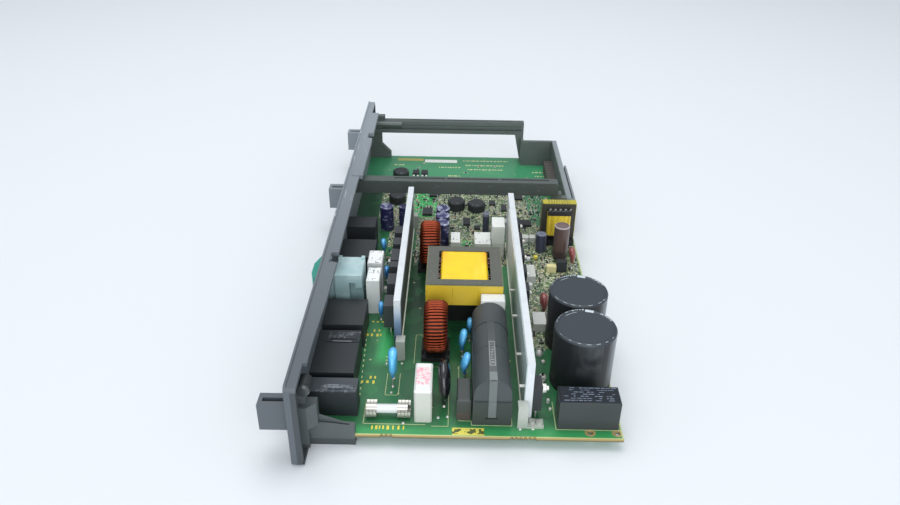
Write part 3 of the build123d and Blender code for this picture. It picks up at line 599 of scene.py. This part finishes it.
paints = {
    "board": board_paint(),
    "panel": plain("Panel_Plastic", "#5a6066", grain=0.5, relief=0.03, marks=panel_marks),
    "frame": plain("Frame_Plastic", "#5b6461", 0.55, grain=0.5, relief=0.03, marks=frame_marks),
    "bracket": plain("Bracket_Plastic", "#4f5658", 0.55, grain=0.5, relief=0.03, marks=bracket_marks),
    "black": plain("Black_Plastic", "#2a2e32"),
    "pale_teal": plain("Housing_Plastic", "#a3c0c3", 0.35, vary=0.06, marks=housing_marks),
    "teal": plain("Plug_Plastic", "#2b8f80", 0.4),
    "white": plain("White_Case", "#d8dad8", 0.42, vary=0.04),
    "bar": plain("Bar_Aluminium", "#dde1e4", 0.45, metal=0.15, marks=bar_marks),
    "steel": plain("Plated_Steel", "#b9bdb6", 0.45, metal=0.35),
    "tin": plain("Tinned_Metal", "#c9c8c2", 0.38, metal=0.7),
    "copper": plain("Copper_Enamel", "#7c3015", 0.22, metal=0.82, coat=0.12, grain=1.5),
    "ferrite": plain("Ferrite", "#54564f", 0.55, marks=core_marks),
    "tape": plain("Yellow_Tape", "#cfb236", 0.3, coat=0.25, marks=tape_marks),
    "bobbin": plain("Bobbin_Plastic", "#1c1d1f"),
    "blue": plain("Blue_Coating", "#62bdf2", 0.22, coat=0.6, grain=1.0,
                  marks=lambda p, tint: p.mix("#2c78cc", tint, p.ramp(p.z, 6, 14))),
    "varistor": plain("Black_Coating", "#101217", 0.22, coat=0.7, grain=1.0),
    "red": plain("Red_Coating", "#854440", 0.3, coat=0.4, grain=1.0),
    "can_grey": plain("Large_Sleeve", "#24272a", 0.42, coat=0.08, spec=0.3,
                      marks=bulk_marks(*NEAR_CAN)),
    "navy": plain("Navy_Sleeve", "#2b2a55", 0.28, coat=0.3, marks=navy_marks),
    "brown": plain("Brown_Sleeve", "#584642", 0.35, coat=0.2, marks=brown_marks),
    "fuse_ceramic": plain("Fuse_Ceramic", "#d6d9db", 0.35, vary=0.04),
    "rear_brown": plain("Rear_Plastic", "#55504d", 0.55,
                        marks=lambda p, tint: p.mix(tint, "#2e2b2a", p.span(p.y % 3.4, 0, 1.2))),
}
for entry in frame["record"]["subparts"]:
    wear(entry["node"], paints[entry["material_slot"]])

own_paints = {
    "line_filter_case": plain("Filter_Case", "#464c4e", spec=0.3, marks=filter_marks),
    "line_filter_cap": plain("Filter_End", "#42474a", 0.48, spec=0.35),
    "small_relay": plain("Small_Box", "#3d4242", 0.4,
                         marks=lambda p, tint: p.mix(tint, "#4d4541", p.z < 5.2)),
    "relay": plain("Relay_Case", "#3b4041", 0.42, spec=0.3, marks=top_marks("#1a2029", 18.3)),
    "near_mains_connector": plain("Mains_Socket", "#3b4248", marks=socket_marks),
    "middle_mains_connector": plain("Middle_Socket", "#2d3236", spec=0.35, marks=socket_marks),
    "corner_screw": plain("Dark_Screw", "#3c4143", 0.3, coat=0.4, grain=0.8),
    "left_devices": plain("Device_Moulding", "#3d4145"),
    "far_bulk_capacitor": plain("Far_Sleeve", "#24272a", 0.42, coat=0.08, spec=0.3,
                                marks=bulk_marks(*FAR_CAN)),
    "line_capacitor": plain("Line_Case", "#e2e4e1", 0.42, vary=0.04, marks=pink_print),
    "box_capacitors": plain("Small_Case", "#e0e3df", 0.42, vary=0.04,
                            marks=case_print(11.9, "#cdd0cb", 12.3)),
    "transformer_winding": plain("Winding_Tape", "#f6cf1c", 0.2, coat=0.6, grain=7, relief=0.5,
                                 marks=winding_marks),
    "aux_transformer_winding": plain("Aux_Winding", "#e8cb40", 0.33, marks=lambda p, tint: p.mix(
        tint, "#a8871f", p.ramp(p.noise(2.5, 2, stretch=(1, 1, 0.15)), 0.5, 0.62) * 0.5)),
    "aux_transformer_tape": plain("Aux_Tape", "#b3a834", 0.35, marks=aux_tape_marks),
    "aux_transformer_core": plain("Aux_Ferrite", "#35352f", 0.55),
    "right_capacitors": plain("Slate_Sleeve", "#3b3f52", 0.32, coat=0.2,
                              marks=top_marks("#7a7f90", 14.2)),
    "yellow_capacitor": plain("Cream_Block", "#d9d09a", 0.45),
    "noise_capacitors": plain("Noise_Case", "#eceeed", 0.42, vary=0.03,
                              marks=case_print(25.2, "#dfe2e0")),
}
for node, paint in own_paints.items():
    wear(node, paint)

# copper turns: one turn repeated round each ring, each ending where the next begins
RING_HIGH, TURNS, STEPS = 19.0, 46, 24
# how far the wire's middle lies from the ring's axis, half its depth across and half its length
WIRE_R, WIRE_DEEP, WIRE_HALF = 10.9, 4.15, 6.4
for name, (x, y) in (("near_choke", (-9.3, 71.5)), ("far_choke", (-16.0, 171.0))):
    pitch = 2 * pi / TURNS
    path, radii = [], []
    for k in range(STEPS + 1):
        t = k / STEPS
        u = 2 * pi * t
        # soft rectangle between the bore and the outside, drifting by one pitch
        wide, rise = [abs(v) ** 0.55 * (1 if v > 0 else -1) for v in (cos(u), sin(u))]
        r = WIRE_R + WIRE_DEEP * rise
        a = pitch * t
        path.append((WIRE_HALF * wide, r * cos(a), r * sin(a)))
        radii.append(0.82 if rise > -0.5 else 0.5)
    turn = Shape().rod(path, radii, 8)
    places = [((x, y, RING_HIGH), (-pi / 2 + pitch * i, 0, 0), FULL) for i in range(TURNS)]
    copies(name.title() + "_Wire", turn, places, paints["copper"], [name + "_turns"], 60)


# coated discs: sides of the lens, steps from its foot to its top, lowest foot, and reach of the
# coat's tails below it; leads stand at this share of the radius from the middle
DISC_SIDES, DISC_STEPS, DISC_FOOT, TAIL = 20, 16, 1.5, 1.2
LEAD_SHARE = 0.45


def coated_disc(shape, x, y, r, thick, top, lean):
    """Lens on edge with a coat that runs down its two leads."""
    low = max(top - 2 * r, DISC_FOOT)
    middle, half = (low + top) / 2, (top - low) / 2
    shift = sin(radians(lean))
    slim = 0.75 if lean else 0.0
    rings = []
    for k in range(DISC_STEPS + 1):
        h = -1 + 2 * k / DISC_STEPS
        z = middle + half * h
        wide = r * max(1 - h * h, 0.004) ** 0.5
        deep = thick * 0.62 * max(1 - abs(h) ** (4 if lean else 8), 0.02) ** 0.5
        if h < -0.2:
            deep *= 1 + (h + 0.2) * slim
        rings.append([(x + shift * (z - middle) + deep * sin(2 * pi * i / DISC_SIDES),
                       y + wide * cos(2 * pi * i / DISC_SIDES), z) for i in range(DISC_SIDES)])
    shape.skin(rings)
    for way in (-LEAD_SHARE, LEAD_SHARE):
        foot = y + way * r
        path = [(x + shift * (low - middle + 3), foot, low + half * 0.4),
                (x - shift, foot, low - 0.5),
                (x - shift * 2, foot, max(low - TAIL, 0.9))]
        shape.rod(path, [thick * 0.34, thick * 0.24, 0.5], 10)


def disc_leads(shape, x, y, r, top):
    """Two bare wires with a cone of solder each."""
    for way in (-LEAD_SHARE, LEAD_SHARE):
        foot = y + way * r
        shape.rod([(x, foot, 0), (x, foot, max(top - 2 * r, DISC_FOOT) + 0.5)], 0.4, 8)
        shape.lathe(x, foot, [(1.2, 0), (1.1, 0.25), (0.5, 0.8), (0.42, 1.0)], 12)


# x, y, radius, thickness, top and lean in degrees
BLUE = [(-32.9, 42.7, 8.0, 4.3, 23.4, 0), (6.9, 70.0, 5.8, 3.9, 17.6, 9),
        (8.2, 48.3, 5.8, 3.9, 17.0, 16),
        (11.2, 85.2, 4.2, 3.2, 15.5, 3), (-50.2, 183.4, 4.5, 3.2, 14.2, -6),
        (-45.6, 152.6, 4.2, 2.8, 10.0, 0), (-45.4, 105.9, 4.2, 2.8, 12.0, 0)]
RED = [(60.2, 117.0, 5.6, 4.6, 13.4, -2), (85.4, 173.5, 5.2, 4.0, 15.6, -6)]
BLACK = [(-3.3, 28.5, 11.8, 5.8, 26.0, -3)]
leads = Shape()
for name, spots, slot_name, node in (("Blue_Discs", BLUE, "blue", "disc_capacitors"),
                                     ("Red_Discs", RED, "red", "dipped_capacitors"),
                                     ("Varistor_Disc", BLACK, "varistor", "varistor")):
    coats = Shape()
    for x, y, r, thick, top, lean in spots:
        coated_disc(coats, x, y, r, thick, top, lean)
        disc_leads(leads, x, y, r, top)
    coats.finish(name, paints[slot_name], slot_name, [node], 60)
leads.finish("Disc_Leads", paints["tin"], "tin")

def strokes(source, start, end, wides, gaps):
    """Start and width of random strokes in a row."""
    while start < end:
        wide = source.uniform(*wides)
        yield start, wide
        start += wide + source.uniform(*gaps)


# printed lines on the board: points and width
print_paint = plain("Board_Print", "#c9cf9a")
yellow_paint = plain("Yellow_Print", "#e0cf4a")
white_paint = plain("White_Print", "#e6e8e4")
SOCKET_DASHES = [([(-51.0 - i * 0.18, 31 + i * 5), (-51.0 - i * 0.18, 32.4 + i * 5)], 0.6)
                 for i in range(14)]
LINES = [([(-46.7, 25), (-46.7, 8.3), (-13.3, 8.3)], 0.35),
         ([(-9.7, 7.3), (-0.9, 7.3), (-0.9, 57), (-9.7, 57), (-20, 57), (-20, 36)], 0.3),
         ([(4.7, 20), (4.7, 11.7), (11.7, 11.7), (11.7, 8.5), (33.5, 8.5), (33.5, 76)], 0.35),
         ([(4.7, 40), (4.7, 58), (10, 58)], 0.3),
         ([(57, 28), (57, 6.5), (92, 6.5)], 0.35),
         ([(-36.8, 50), (-36.8, 31.5), (-29.4, 31.5), (-29.4, 50)], 0.3),
         *SOCKET_DASHES,
         ([(-38.6, 65.6), (-35.8, 65.6)], 0.8),
         ([(-38.6, 62.4), (-36.6, 62.4)], 0.8),
         ([(-22, 60), (-22, 88), (-2, 88)], 0.3),
         ([(-30, 301), (30, 301)], 0.25)]
marks = Shape()
for points, wide in LINES:
    marks.outline(points, wide)
marks.finish("Print_Outlines", print_paint, "board")

# rows of bare fields in place of lettering: y, start, end and height in the row
YELLOW_ROWS = ((5.4, -42, -24.5, 3.2), (91.6, -49, -43, 2.2), (87, -53, -43, 2.8),
               (46.4, -47, -43.5, 2.4), (42.2, -51.5, -43.3, 2.8), (101, -51, -41, 1.6))
fields = Shape()
rows = random.Random(3)
for y, start, end, high in YELLOW_ROWS:
    for x, wide in strokes(rows, start, end, (0.7, 1.5), (0.7, 2.2)):
        y0 = y - high / 2 + rows.uniform(0, 0.6)
        fields.block(x, x + wide, y0, y + high / 2, 0, FIELD_HIGH)
fields.finish("Yellow_Fields", yellow_paint, "board")


def label_marks(p, tint):
    """Dark spots along the middle of the label."""
    return p.mix(tint, "#4f5a2c", (p.chance(1.7) > 0.62) * p.span(p.y, 1.8, 5.6))


for name, (x0, x1, y0, y1), paint in (
        ("Yellow_Label", (1.3, 18.4, 1.0, 6.4), plain("Label_Print", "#d9cf5a", marks=label_marks)),
        ("Dull_Stripe", (-52.4, -28.7, 354.4, 359.6), plain("Faded_Yellow", "#a8a55c")),
        ("White_Stripe", (-27.3, 2.3, 351.4, 357.6), white_paint)):
    Shape().block(x0, x1, y0, y1, 0, FIELD_HIGH).finish(name, paint, "board")

# rows of pale strokes at the far end: y, start and end
FAR_ROWS = ((323, -5.5, 5), (320, -5, 4.5), (356, 8, 50), (346, 10, 44), (341, -14, 6),
            (337, 12, 44), (360, 60, 76), (333, 70, 80), (325, 72, 80), (345, -55, -47))
FAR_HALF = 0.9
far_rows = Shape()
for y, start, end in FAR_ROWS:
    for x, wide in strokes(rows, start, end, (0.9, 3.0), (0.5, 1.4)):
        far_rows.block(x, x + wide, y - FAR_HALF, y + FAR_HALF, 0, FIELD_HIGH)
far_rows.finish("Far_Print", print_paint, "board")

# small surface parts, set where nothing taller stands
verts, faces = [], []
for name, o in nodes.items():
    if name != "circuit_board":
        base = len(verts)
        verts += [v.co.copy() for v in o.data.vertices]
        faces += [[base + i for i in f.vertices] for f in o.data.polygons]
tall = BVHTree.FromPolygons(verts, faces)


# half the room a part needs, height of the rays' start, and height in metres above which a
# piece may hang over a part
ROOM, RAY_START, HEADROOM = 1.5, 0.2, 0.004
BOARD_TOP = at(0, 0).z


def free(x, y):
    """True where the board lies open around a spot."""
    for dx in (-ROOM, 0, ROOM):
        for dy in (-ROOM, 0, ROOM):
            hit, normal, _, _ = tall.ray_cast(at(x + dx, y + dy, RAY_START), (0, 0, 1))
            if hit and (normal.z > 0 or hit.z - BOARD_TOP < HEADROOM):
                return False
    return True


# parts lie on a grid, at most one in each square
GRID, SQUARE = 1.27, 2.2
RESISTOR_SHARE, CERAMIC_SHARE = 0.45, 0.39
# zones: x range, y range and number of tries
CROWDS = [((-28, 38), (174, 231), 420), ((-58, 78), (242, 298), 460), ((46.5, 66), (74, 232), 230),
          ((64, 90), (104, 231), 190), ((-49, -38), (150, 296), 90), ((-60, 60), (300, 350), 14)]
lots = random.Random(7)
taken, resistors, ceramics, trios, dots = set(), [], [], [], []
for (x0, x1), (y0, y1), tries in CROWDS:
    for _ in range(tries):
        x = round(lots.uniform(x0, x1) / GRID) * GRID
        y = round(lots.uniform(y0, y1) / GRID) * GRID
        spot = (round(x / SQUARE), round(y / SQUARE))
        if spot in taken or not free(x, y):
            continue
        taken.add(spot)
        turn = lots.choice((FLAT, ACROSS))
        kind = lots.random()
        if kind < RESISTOR_SHARE:
            resistors.append(((x, y, 0), turn, FULL))
        elif kind < RESISTOR_SHARE + CERAMIC_SHARE:
            grow = lots.choice((0.8, 1, 1.25))
            ceramics.append(((x, y, 0), turn, (grow, grow, 1)))
        else:
            trios.append(((x, y, 0), turn, FULL))
        for _ in range(2):
            place = (x + lots.uniform(-2.2, 2.2), y + lots.uniform(-2.2, 2.2), 0)
            dots.append((place, FLAT, (lots.uniform(0.5, 1.6), lots.uniform(0.6, 1.1), 1)))
chip_black = plain("Chip_Body", "#26282a")
chip_tan = plain("Chip_Ceramic", "#a39678", vary=0.3)
solder = plain("Solder", "#c9ccc8", 0.35, metal=0.6)
copies("Chip_Resistors", Shape().block(-0.75, 0.75, -0.65, 0.65, 0.04, 0.6, 0.06), resistors,
       chip_black)
copies("Chip_Capacitors", Shape().block(-0.7, 0.7, -0.65, 0.65, 0.04, 0.95, 0.12), ceramics,
       chip_tan)
ends = Shape()
for way in (-1, 1):
    ends.block(*sorted((way * 0.7, way * 1.05)), -0.68, 0.68, 0, 0.62, 0.05)
    ends.block(*sorted((way * 0.8, way * 1.5)), -0.75, 0.75, 0, 0.05)
copies("Chip_Ends", ends, resistors + ceramics, solder)
copies("Small_Transistors", Shape().block(-1.45, 1.45, -0.7, 0.7, 0.1, 1.1, 0.15), trios,
       chip_black)
feet = Shape()
for x, way in ((-0.95, -1), (0.95, -1), (0, 1)):
    feet.block(x - 0.22, x + 0.22, *sorted((way * 0.65, way * 1.3)), 0, 0.35, 0.05)
copies("Transistor_Feet", feet, trios, solder)
copies("Print_Dots", Shape().block(-0.5, 0.5, -0.2, 0.2, 0, 0.03), dots, print_paint)

# pins of the flat chips: middle, width and depth of each chip
CHIPS = [(-21.2, 252.0, 7.6, 11.0), (-17.5, 282.0, 6.3, 4.4), (10.4, 236.5, 5.4, 10.5),
         (31.8, 269.5, 5.0, 7.0), (41.0, 261.0, 4.3, 10.0), (56.2, 235.5, 10.2, 8.5),
         (54.0, 281.0, 6.8, 8.0), (18.5, 227.2, 4.6, 4.6)]
FIRST_PIN = 0.9
pins = []
for x, y, wide, deep in CHIPS:
    for i in range(int(deep / GRID)):
        side = y - deep / 2 + FIRST_PIN + i * GRID
        pins += [((x - wide / 2, side, 0), (0, 0, pi), FULL), ((x + wide / 2, side, 0), FLAT, FULL)]
pin = Shape().band([(0, 0.9), (0.35, 0.85), (0.45, 0.15), (0.95, 0.1)], -0.22, 0.22, 0.12)
# the strip runs along Y, and a pin points along X
for v in pin.mesh.verts:
    v.co.x, v.co.y = v.co.y, -v.co.x
copies("Chip_Pins", pin, pins, solder)

# solder joints on the board's top
JOINTS = [(-38.3, 59.3), (-29.1, 59.6), (-25.2, 9.3), (-6.4, 14.0), (37.7, 6.4), (-33.5, 33.6),
          (44.6, 6.6), (50.4, 142.6), (51.8, 178.5), (-1.3, 14.8), (-46, 141), (-43, 124),
          (-44, 165), (-41.5, 205)]
dome = Shape().lathe(0, 0, [(1.15, 0), (1.05, 0.35), (0.6, 0.8), (0.3, 1.0)], 14)
copies("Top_Joints", dome, [((x, y, 0), FLAT, (0.85, 0.85, 0.7)) for x, y in JOINTS], solder)

# thin sheets on the left faces of the two heatsink bars, and the pale ledges below them
sheet_paint = plain("Insulating_Sheet", "#4a524f", 0.4, marks=lambda p, tint: p.mix(
    tint, "#a9b0a2", p.z < 12.9))
Shape().block(-30.0, -29.6, 68.6, 203, 12.0, 38.0).finish("Left_Sheet", sheet_paint, "bar")
ledges = Shape()
ledges.block(-30.0, -29.0, 69.5, 203, 11.4, 12.0, 0.1)
ledges.block(39.0, 40.0, 22, 205, 0, 0.7, 0.1)
ledges.finish("Sheet_Edges", plain("Pale_Edge", "#d5d8c8", 0.4), "bar")
# the grey sheet's far part, beyond y 118 to 126, is painted paler as painted light
foil_paint = plain("Grey_Sheet", "#b4c4c2", 0.35, marks=lambda p, tint: p.mix(
    tint, "#f2f0e8", p.ramp(p.y, 118, 126)))
Shape().block(39.6, 40.0, 13.6, 190, 0.3, 37.4).finish("Right_Sheet", foil_paint, "bar")

# line filter: paper strip along the arch and down the near face
def strip_marks(p, tint):
    """Plain towards the near end, a framed label with dashes on top of the arch."""
    top = (p.z > 29.2) * (p.y > 17)
    tint = p.mix(tint, "#3d4344", top)
    border = p.patch(20.8, 24.2, 22, 43.5) * (1 - p.patch(21.3, 23.7, 22.8, 42.8))
    dash = p.span(p.y % 2.2, 0, 1.3) * p.patch(21.7, 23.4, 23.5, 42) * (p.noise(1.1, 2) > 0.45)
    return p.mix(tint, "#868c8c", top * p.clamp(border + dash) * 0.75)


# the strip's line from the foot of the near face to its far end: y, z
STRIP_LINE = [(9.2, 5.2), (9.2, 15.5), (9.97, 16.0), (9.97, 29.4), (11, 30.0), (62, 30.0)]
strip = Shape().band(STRIP_LINE, 20.4, 24.6, 0.3)
strip.block(20.0, 25.0, 39.6, 40.4, 29.7, 30.5, 0.1)
strip.finish("Arch_Strip", plain("Arch_Paper", "#646b6a", 0.42, marks=strip_marks), "black")
# a dark strip painted as the shadow in a slot across the filter's near face
slot_shadow_strip = Shape().block(19.2, 25.6, 9.0, 9.24, 4.1, 4.9)
slot_shadow_strip.finish("Filter_Slot", plain("Slot_Shadow", "#15181a", 0.6), "black")

# large round capacitors: marks printed on the sleeve's turned-in rim, given as radius and height
RIM = [(13.6, 38.02), (15.1, 38.02), (16.1, 38.52), (17.0, 38.14), (17.42, 37.4)]


def crest(r):
    """Height of the rim at a radius."""
    for (r0, z0), (r1, z1) in zip(RIM, RIM[1:]):
        if r <= r1:
            return z0 + (z1 - z0) * (r - r0) / (r1 - r0)
    return RIM[-1][1]


letters = random.Random(11)
rim_marks = Shape()
for (x, y), arcs in (
        (NEAR_CAN, [(66, 84, 14.6, 16.6), (87, 91, 15.8, 16.8), (104, 134, 14.2, 14.4)]),
        (FAR_CAN, [(68, 86, 14.6, 16.6), (89, 92, 15.8, 16.8), (110, 132, 14.2, 14.4)])):
    # arcs: first and last angle in degrees, inner and outer radius
    # short dashes, then the thin pale line of the near side
    for start, end, inner, outer in ((94, 128, 15.6, 16.5), (20, 52, 15.4, 16.6),
                                     (136, 164, 16.0, 16.5)):
        for a, wide in strokes(letters, start, end, (1.2, 3.4), (1.4, 3.6)):
            arcs.append((a, a + wide, inner + letters.uniform(0, 0.4), outer))
    for k in range(7):
        a = -155 + k * 19 + letters.uniform(0, 6)
        arcs.append((a, a + letters.uniform(3, 11), 16.62, 16.8))
    for a0, a1, inner, outer in arcs:
        count = max(int((a1 - a0) / 3), 1)
        line = [inner + (outer - inner) * i / 3 for i in range(4)]
        section = [(r, crest(r) - 0.08) for r in line]
        section += [(r + 0.02, crest(r) + 0.04) for r in line[::-1]]
        turns = [radians(a0 + (a1 - a0) * i / count) for i in range(count + 1)]
        rim_marks.skin([[(x + r * cos(a), y + r * sin(a), z) for r, z in section] for a in turns])
rim_marks.finish("Rim_Marks", plain("Sleeve_Print", "#b9c4ca"), "white")

# cross grooves in the lids of the small round capacitors: middle, radius and height of each
CANS = ((-51.4, 225.0, 5.15, 20.0), (-38.2, 226.0, 4.0, 19.5), (-8.2, 200.2, 5.2, 20.0),
        (-8.2, 211.9, 5.2, 20.0), (-8.2, 223.6, 5.2, 20.0), (65.2, 195.2, 4.0, 14.5),
        (25.0, 222.0, 2.5, 17.0))
vents = []
for x, y, r, high in CANS:
    for turn in (0.4, 0.4 + pi / 2):
        vents.append(((x, y, high - 0.31), (0, 0, turn), (r * 1.3, 1, 1)))
copies("Lid_Grooves", Shape().block(-0.5, 0.5, -0.17, 0.17, 0, 0.05), vents,
       plain("Groove_Shadow", "#4a4a62"))

# relay: rows of dashes on its top
RELAY_TOP, RELAY_LEFT, RELAY_RIGHT, FIRST_ROW, ROW_PITCH = 18.7, 60.2, 87, 8.9, 1.65
dashes = []
for row in range(7):
    x = RELAY_LEFT
    while x < RELAY_RIGHT:
        wide = lots.uniform(0.8, 3.2)
        if lots.random() < 0.62:
            place = (x + wide / 2, FIRST_ROW + row * ROW_PITCH, RELAY_TOP)
            dashes.append((place, FLAT, (wide, lots.uniform(0.4, 0.8), 1)))
        x += wide + 0.5
copies("Relay_Rows", Shape().block(-0.5, 0.5, -0.4, 0.4, 0, LINE_HIGH), dashes,
       plain("Pale_Print", "#6f7b8c"))

# fuse clips: sprung arms with flared tips
def clip_marks(p, tint):
    """Dark lines painted as the shade in the slots between the arms, and a shaded foot."""
    slots = p.span(p.x % 1.9, 0, 0.35) * (p.z > 3.6)
    return p.mix(tint, "#4f5049", p.clamp(slots + (p.z < 1.5)) * 0.75)


FUSE_Y = 15
clips = Shape()
for x0, x1 in ((-45.6, -39.7), (-28.4, -21.4)):
    # one arm's line: distance from the fuse's axis, height
    arm = [(0.6, 0.05), (2.2, 0.3), (3.4, 1.6), (3.6, 3.8), (3.0, 5.2), (4.4, 6.5), (4.9, 6.4)]
    line = [(FUSE_Y - y, z) for y, z in arm[::-1]] + [(FUSE_Y + y, z) for y, z in arm]
    clips.band(line, x0, x1, 0.5)
clips.finish("Sprung_Clips", plain("Clip_Metal", "#bdbcb4", 0.36, metal=0.75, marks=clip_marks),
             "tin", ["fuse_clips"], 50)

# nuts and washers that hold the power devices to the right bar
DEVICE_FACE, NUT_HIGH, DEVICE_ROW = 49.2, 17.6, (19.5, 112, 134, 156, 178, 200)
bright_metal = plain("Bright_Metal", "#dcdcd6", 0.32, metal=0.3)
nut = Shape().lathe(0, 0, [(3.3, 0), (3.3, 0.5), (2.5, 0.55), (2.5, 2.2), (1.9, 2.5), (1.3, 2.5),
                           (1.3, 3.6), (1.0, 3.9)], 18)
# the nearest one is full size, the others are smaller
sizes = [FULL] + [(0.6, 0.6, 0.5)] * (len(DEVICE_ROW) - 1)
copies("Device_Nuts", nut, [((DEVICE_FACE, y, NUT_HIGH), (0, pi / 2, 0), size)
                            for y, size in zip(DEVICE_ROW, sizes)], bright_metal)

# crystal can, terminals and other small parts beside the bars
small = Shape()
small.block(51.4, 55.0, 44.0, 49, 0, 4.5, 1.2)
small.lathe(53.4, 70.4, [(2.3, 0), (2.3, 1.9), (1.5, 3.0), (0.6, 3.6)], 20)
small.lathe(55.2, 63.0, [(1.2, 0), (1.2, 1.2), (0.5, 1.8)], 14)
small.lathe(54.6, 27.5, [(0.9, 0), (0.9, 2.6), (0.4, 3.0)], 12)
small.lathe(55.2, 22.0, [(0.9, 0), (0.9, 1.0), (0.4, 1.6)], 12)
small.finish("Bright_Terminals", bright_metal, "tin")
pale = Shape()
pale.lathe(53.5, 144, [(1.8, 0), (1.8, 3.2), (1.2, 3.8)], 16)
pale.block(53.6, 56.4, 178.6, 181.4, 0, 3.0, 0.3)
pale.block(-46.4, -43.6, 168.6, 172.8, 0, 4.2, 0.4).block(-46.2, -43.4, 133.8, 137.6, 0, 4.0, 0.4)
pale.finish("Pale_Parts", paints["white"], "white")
Shape().block(59.2, 61.8, 181.6, 184.4, 0, 2.6, 0.3).finish("Amber_Part", yellow_paint, "tape")

# small transformer: dark flange with bright pins
flange = Shape().block(69.5, 87.0, 201.6, 207.0, 28.8, 29.4, 0.1)
flange.block(69.5, 87.0, 201.6, 202.4, 25.8, 29.0, 0.1)
flange.finish("Aux_Flange", paints["bobbin"], "bobbin")
AUX_PIN_LEFT, AUX_PIN_PITCH = 70.9, 3.7
aux_pins = Shape()
for i in range(5):
    x = AUX_PIN_LEFT + i * AUX_PIN_PITCH
    aux_pins.rod([(x, 203.0, 29.0), (x, 203.0, 30.8), (x + 0.6, 201.9, 31.2)], 0.4, 8)
aux_pins.finish("Aux_Pins", paints["tin"], "tin")

# transformer: wire ends that cross the gap between winding and core
wire_ends = Shape()
for x0, x1, line in ((-8.75, -7.2, (99.5, 101, 103.2, 108.5, 113, 116.6, 119.4, 121.6)),
                     (22.0, 23.55, (99.8, 102, 112.4, 116, 118.2, 120.6, 122.4))):
    for k, y in enumerate(line):
        wire_ends.rod([(x0, y, 35.6 + 0.3 * (k % 3)), (x1, y + 0.5, 35.8 + 0.2 * (k % 2))], 0.5)
sleeve = plain("Wire_Sleeve", "#4a221b", 0.35,
               marks=lambda p, tint: p.mix(tint, "#8f7f74", p.noise(2.2, 2) > 0.6))
wire_ends.finish("Winding_Ends", sleeve, "copper")

# flat coils: six short bright wires round the rim of each; middle and height
COILS = ((2.1, 261.2, 7.5), (18.6, 259.7, 6.5), (-46.7, 271.5, 7.0), (-47.3, 322.5, 5.0))
COIL_R, WIRE_ARC = 5.9, 0.35
coil_rims = Shape()
for x, y, high in COILS:
    for k in range(6):
        a = 0.5 + 2 * pi * k / 6 + 0.3 * (k % 2)
        b = a + WIRE_ARC
        coil_rims.rod([(x + COIL_R * cos(a), y + COIL_R * sin(a), high - 0.2),
                       (x + COIL_R * cos(b), y + COIL_R * sin(b), high - 0.15)], 0.35, 6)
coil_rims.finish("Coil_Rims", plain("Coil_Wire", "#6f7476", 0.35, metal=0.3), "tin")

# four pale blocks near the far end
chip_pads = Shape()
for x in (-34.2, -26.6):
    for dx in (-1.7, 1.7):
        chip_pads.block(x + dx - 0.8, x + dx + 0.8, 320.4, 322.0, 0, 1.0, 0.1)
chip_pads.finish("Far_Pads", white_paint, "white")

# connectors: pale marks on the tops
SOCKET_TOP = 17.6
socket_print = Shape()
for x0, x1, y0, y1 in ((-66, -58, 16.6, 17.4), (-66, -60, 18.6, 19.3), (-69, -58, 57.0, 57.7)):
    socket_print.block(x0, x1, y0, y1, SOCKET_TOP, SOCKET_TOP + LINE_HIGH)
socket_print.finish("Socket_Marks", plain("Faint_Print", "#7b8288"), "black")

# floor
FLOOR_HALF = 14
corners = [(-1, -1), (1, -1), (1, 1), (-1, 1)]
floor_mesh = bpy.data.meshes.new("Floor")
floor_mesh.from_pydata([(x * FLOOR_HALF, y * FLOOR_HALF, 0) for x, y in corners], [], [(0, 1, 2, 3)])
floor = bpy.data.objects.new("Floor", floor_mesh)
link(floor)
floor_paint = Paint("Floor_Paper", (0.70, 0.735, 0.76), 0.7)
floor_mesh.materials.append(floor_paint.material)

# camera: height, distance and tilt follow from the photographed board's known sizes
CAMERA_BACK, CAMERA_HIGH = 298.64, 291
pitch, yaw, roll = radians(30.79), radians(-0.2514), radians(0.9309)
forward = Vector((sin(yaw) * cos(pitch), cos(yaw) * cos(pitch), -sin(pitch)))
level = Vector((cos(yaw), -sin(yaw), 0))
rise = level.cross(forward)
right = level * cos(roll) + rise * sin(roll)
up = rise * cos(roll) - level * sin(roll)
camera = bpy.data.objects.new("Camera", bpy.data.cameras.new("Camera"))
camera.data.lens, camera.data.sensor_width = 30.68, 36
camera.data.clip_start = 0.01
turn = Matrix((right, up, -forward)).transposed().to_4x4()
camera.matrix_world = Matrix.Translation(at(0, -CAMERA_BACK, CAMERA_HIGH)) @ turn
link(camera)
bpy.context.scene.camera = camera

# light: bright even room, and two broad lamps overhead and in front; the room's strength falls
# from one side along Y to the other
world = bpy.data.worlds.new("Room")
world.use_nodes = True
tree = world.node_tree
sky = tree.nodes["Background"]
way = tree.nodes.new("ShaderNodeTexCoord")
split = tree.nodes.new("ShaderNodeSeparateXYZ")
depth = tree.nodes.new("ShaderNodeMapRange")
for key, value in (("From Min", -0.9), ("From Max", 0.9), ("To Min", 0.95), ("To Max", 0.42)):
    depth.inputs[key].default_value = value
tree.links.new(way.outputs["Generated"], split.inputs[0])
tree.links.new(split.outputs[1], depth.inputs["Value"])
tree.links.new(depth.outputs[0], sky.inputs["Strength"])
sky.inputs["Color"].default_value = (0.90, 0.95, 1.0, 1)
bpy.context.scene.world = world


def lamp(name, spot, size, power):
    """Square lamp aimed at the middle of the part's base."""
    data = bpy.data.lights.new(name, "AREA")
    data.size, data.energy = size, power
    made = bpy.data.objects.new(name, data)
    made.location = spot
    made.rotation_euler = (-Vector(spot)).to_track_quat("-Z", "Y").to_euler()
    link(made)


lamp("Overhead", (-0.1, 0.3, 1.5), 1.2, 14)
lamp("Front", (0.15, -1.5, 0.55), 1.4, 14)
bpy.context.scene.view_settings.view_transform = "Standard"
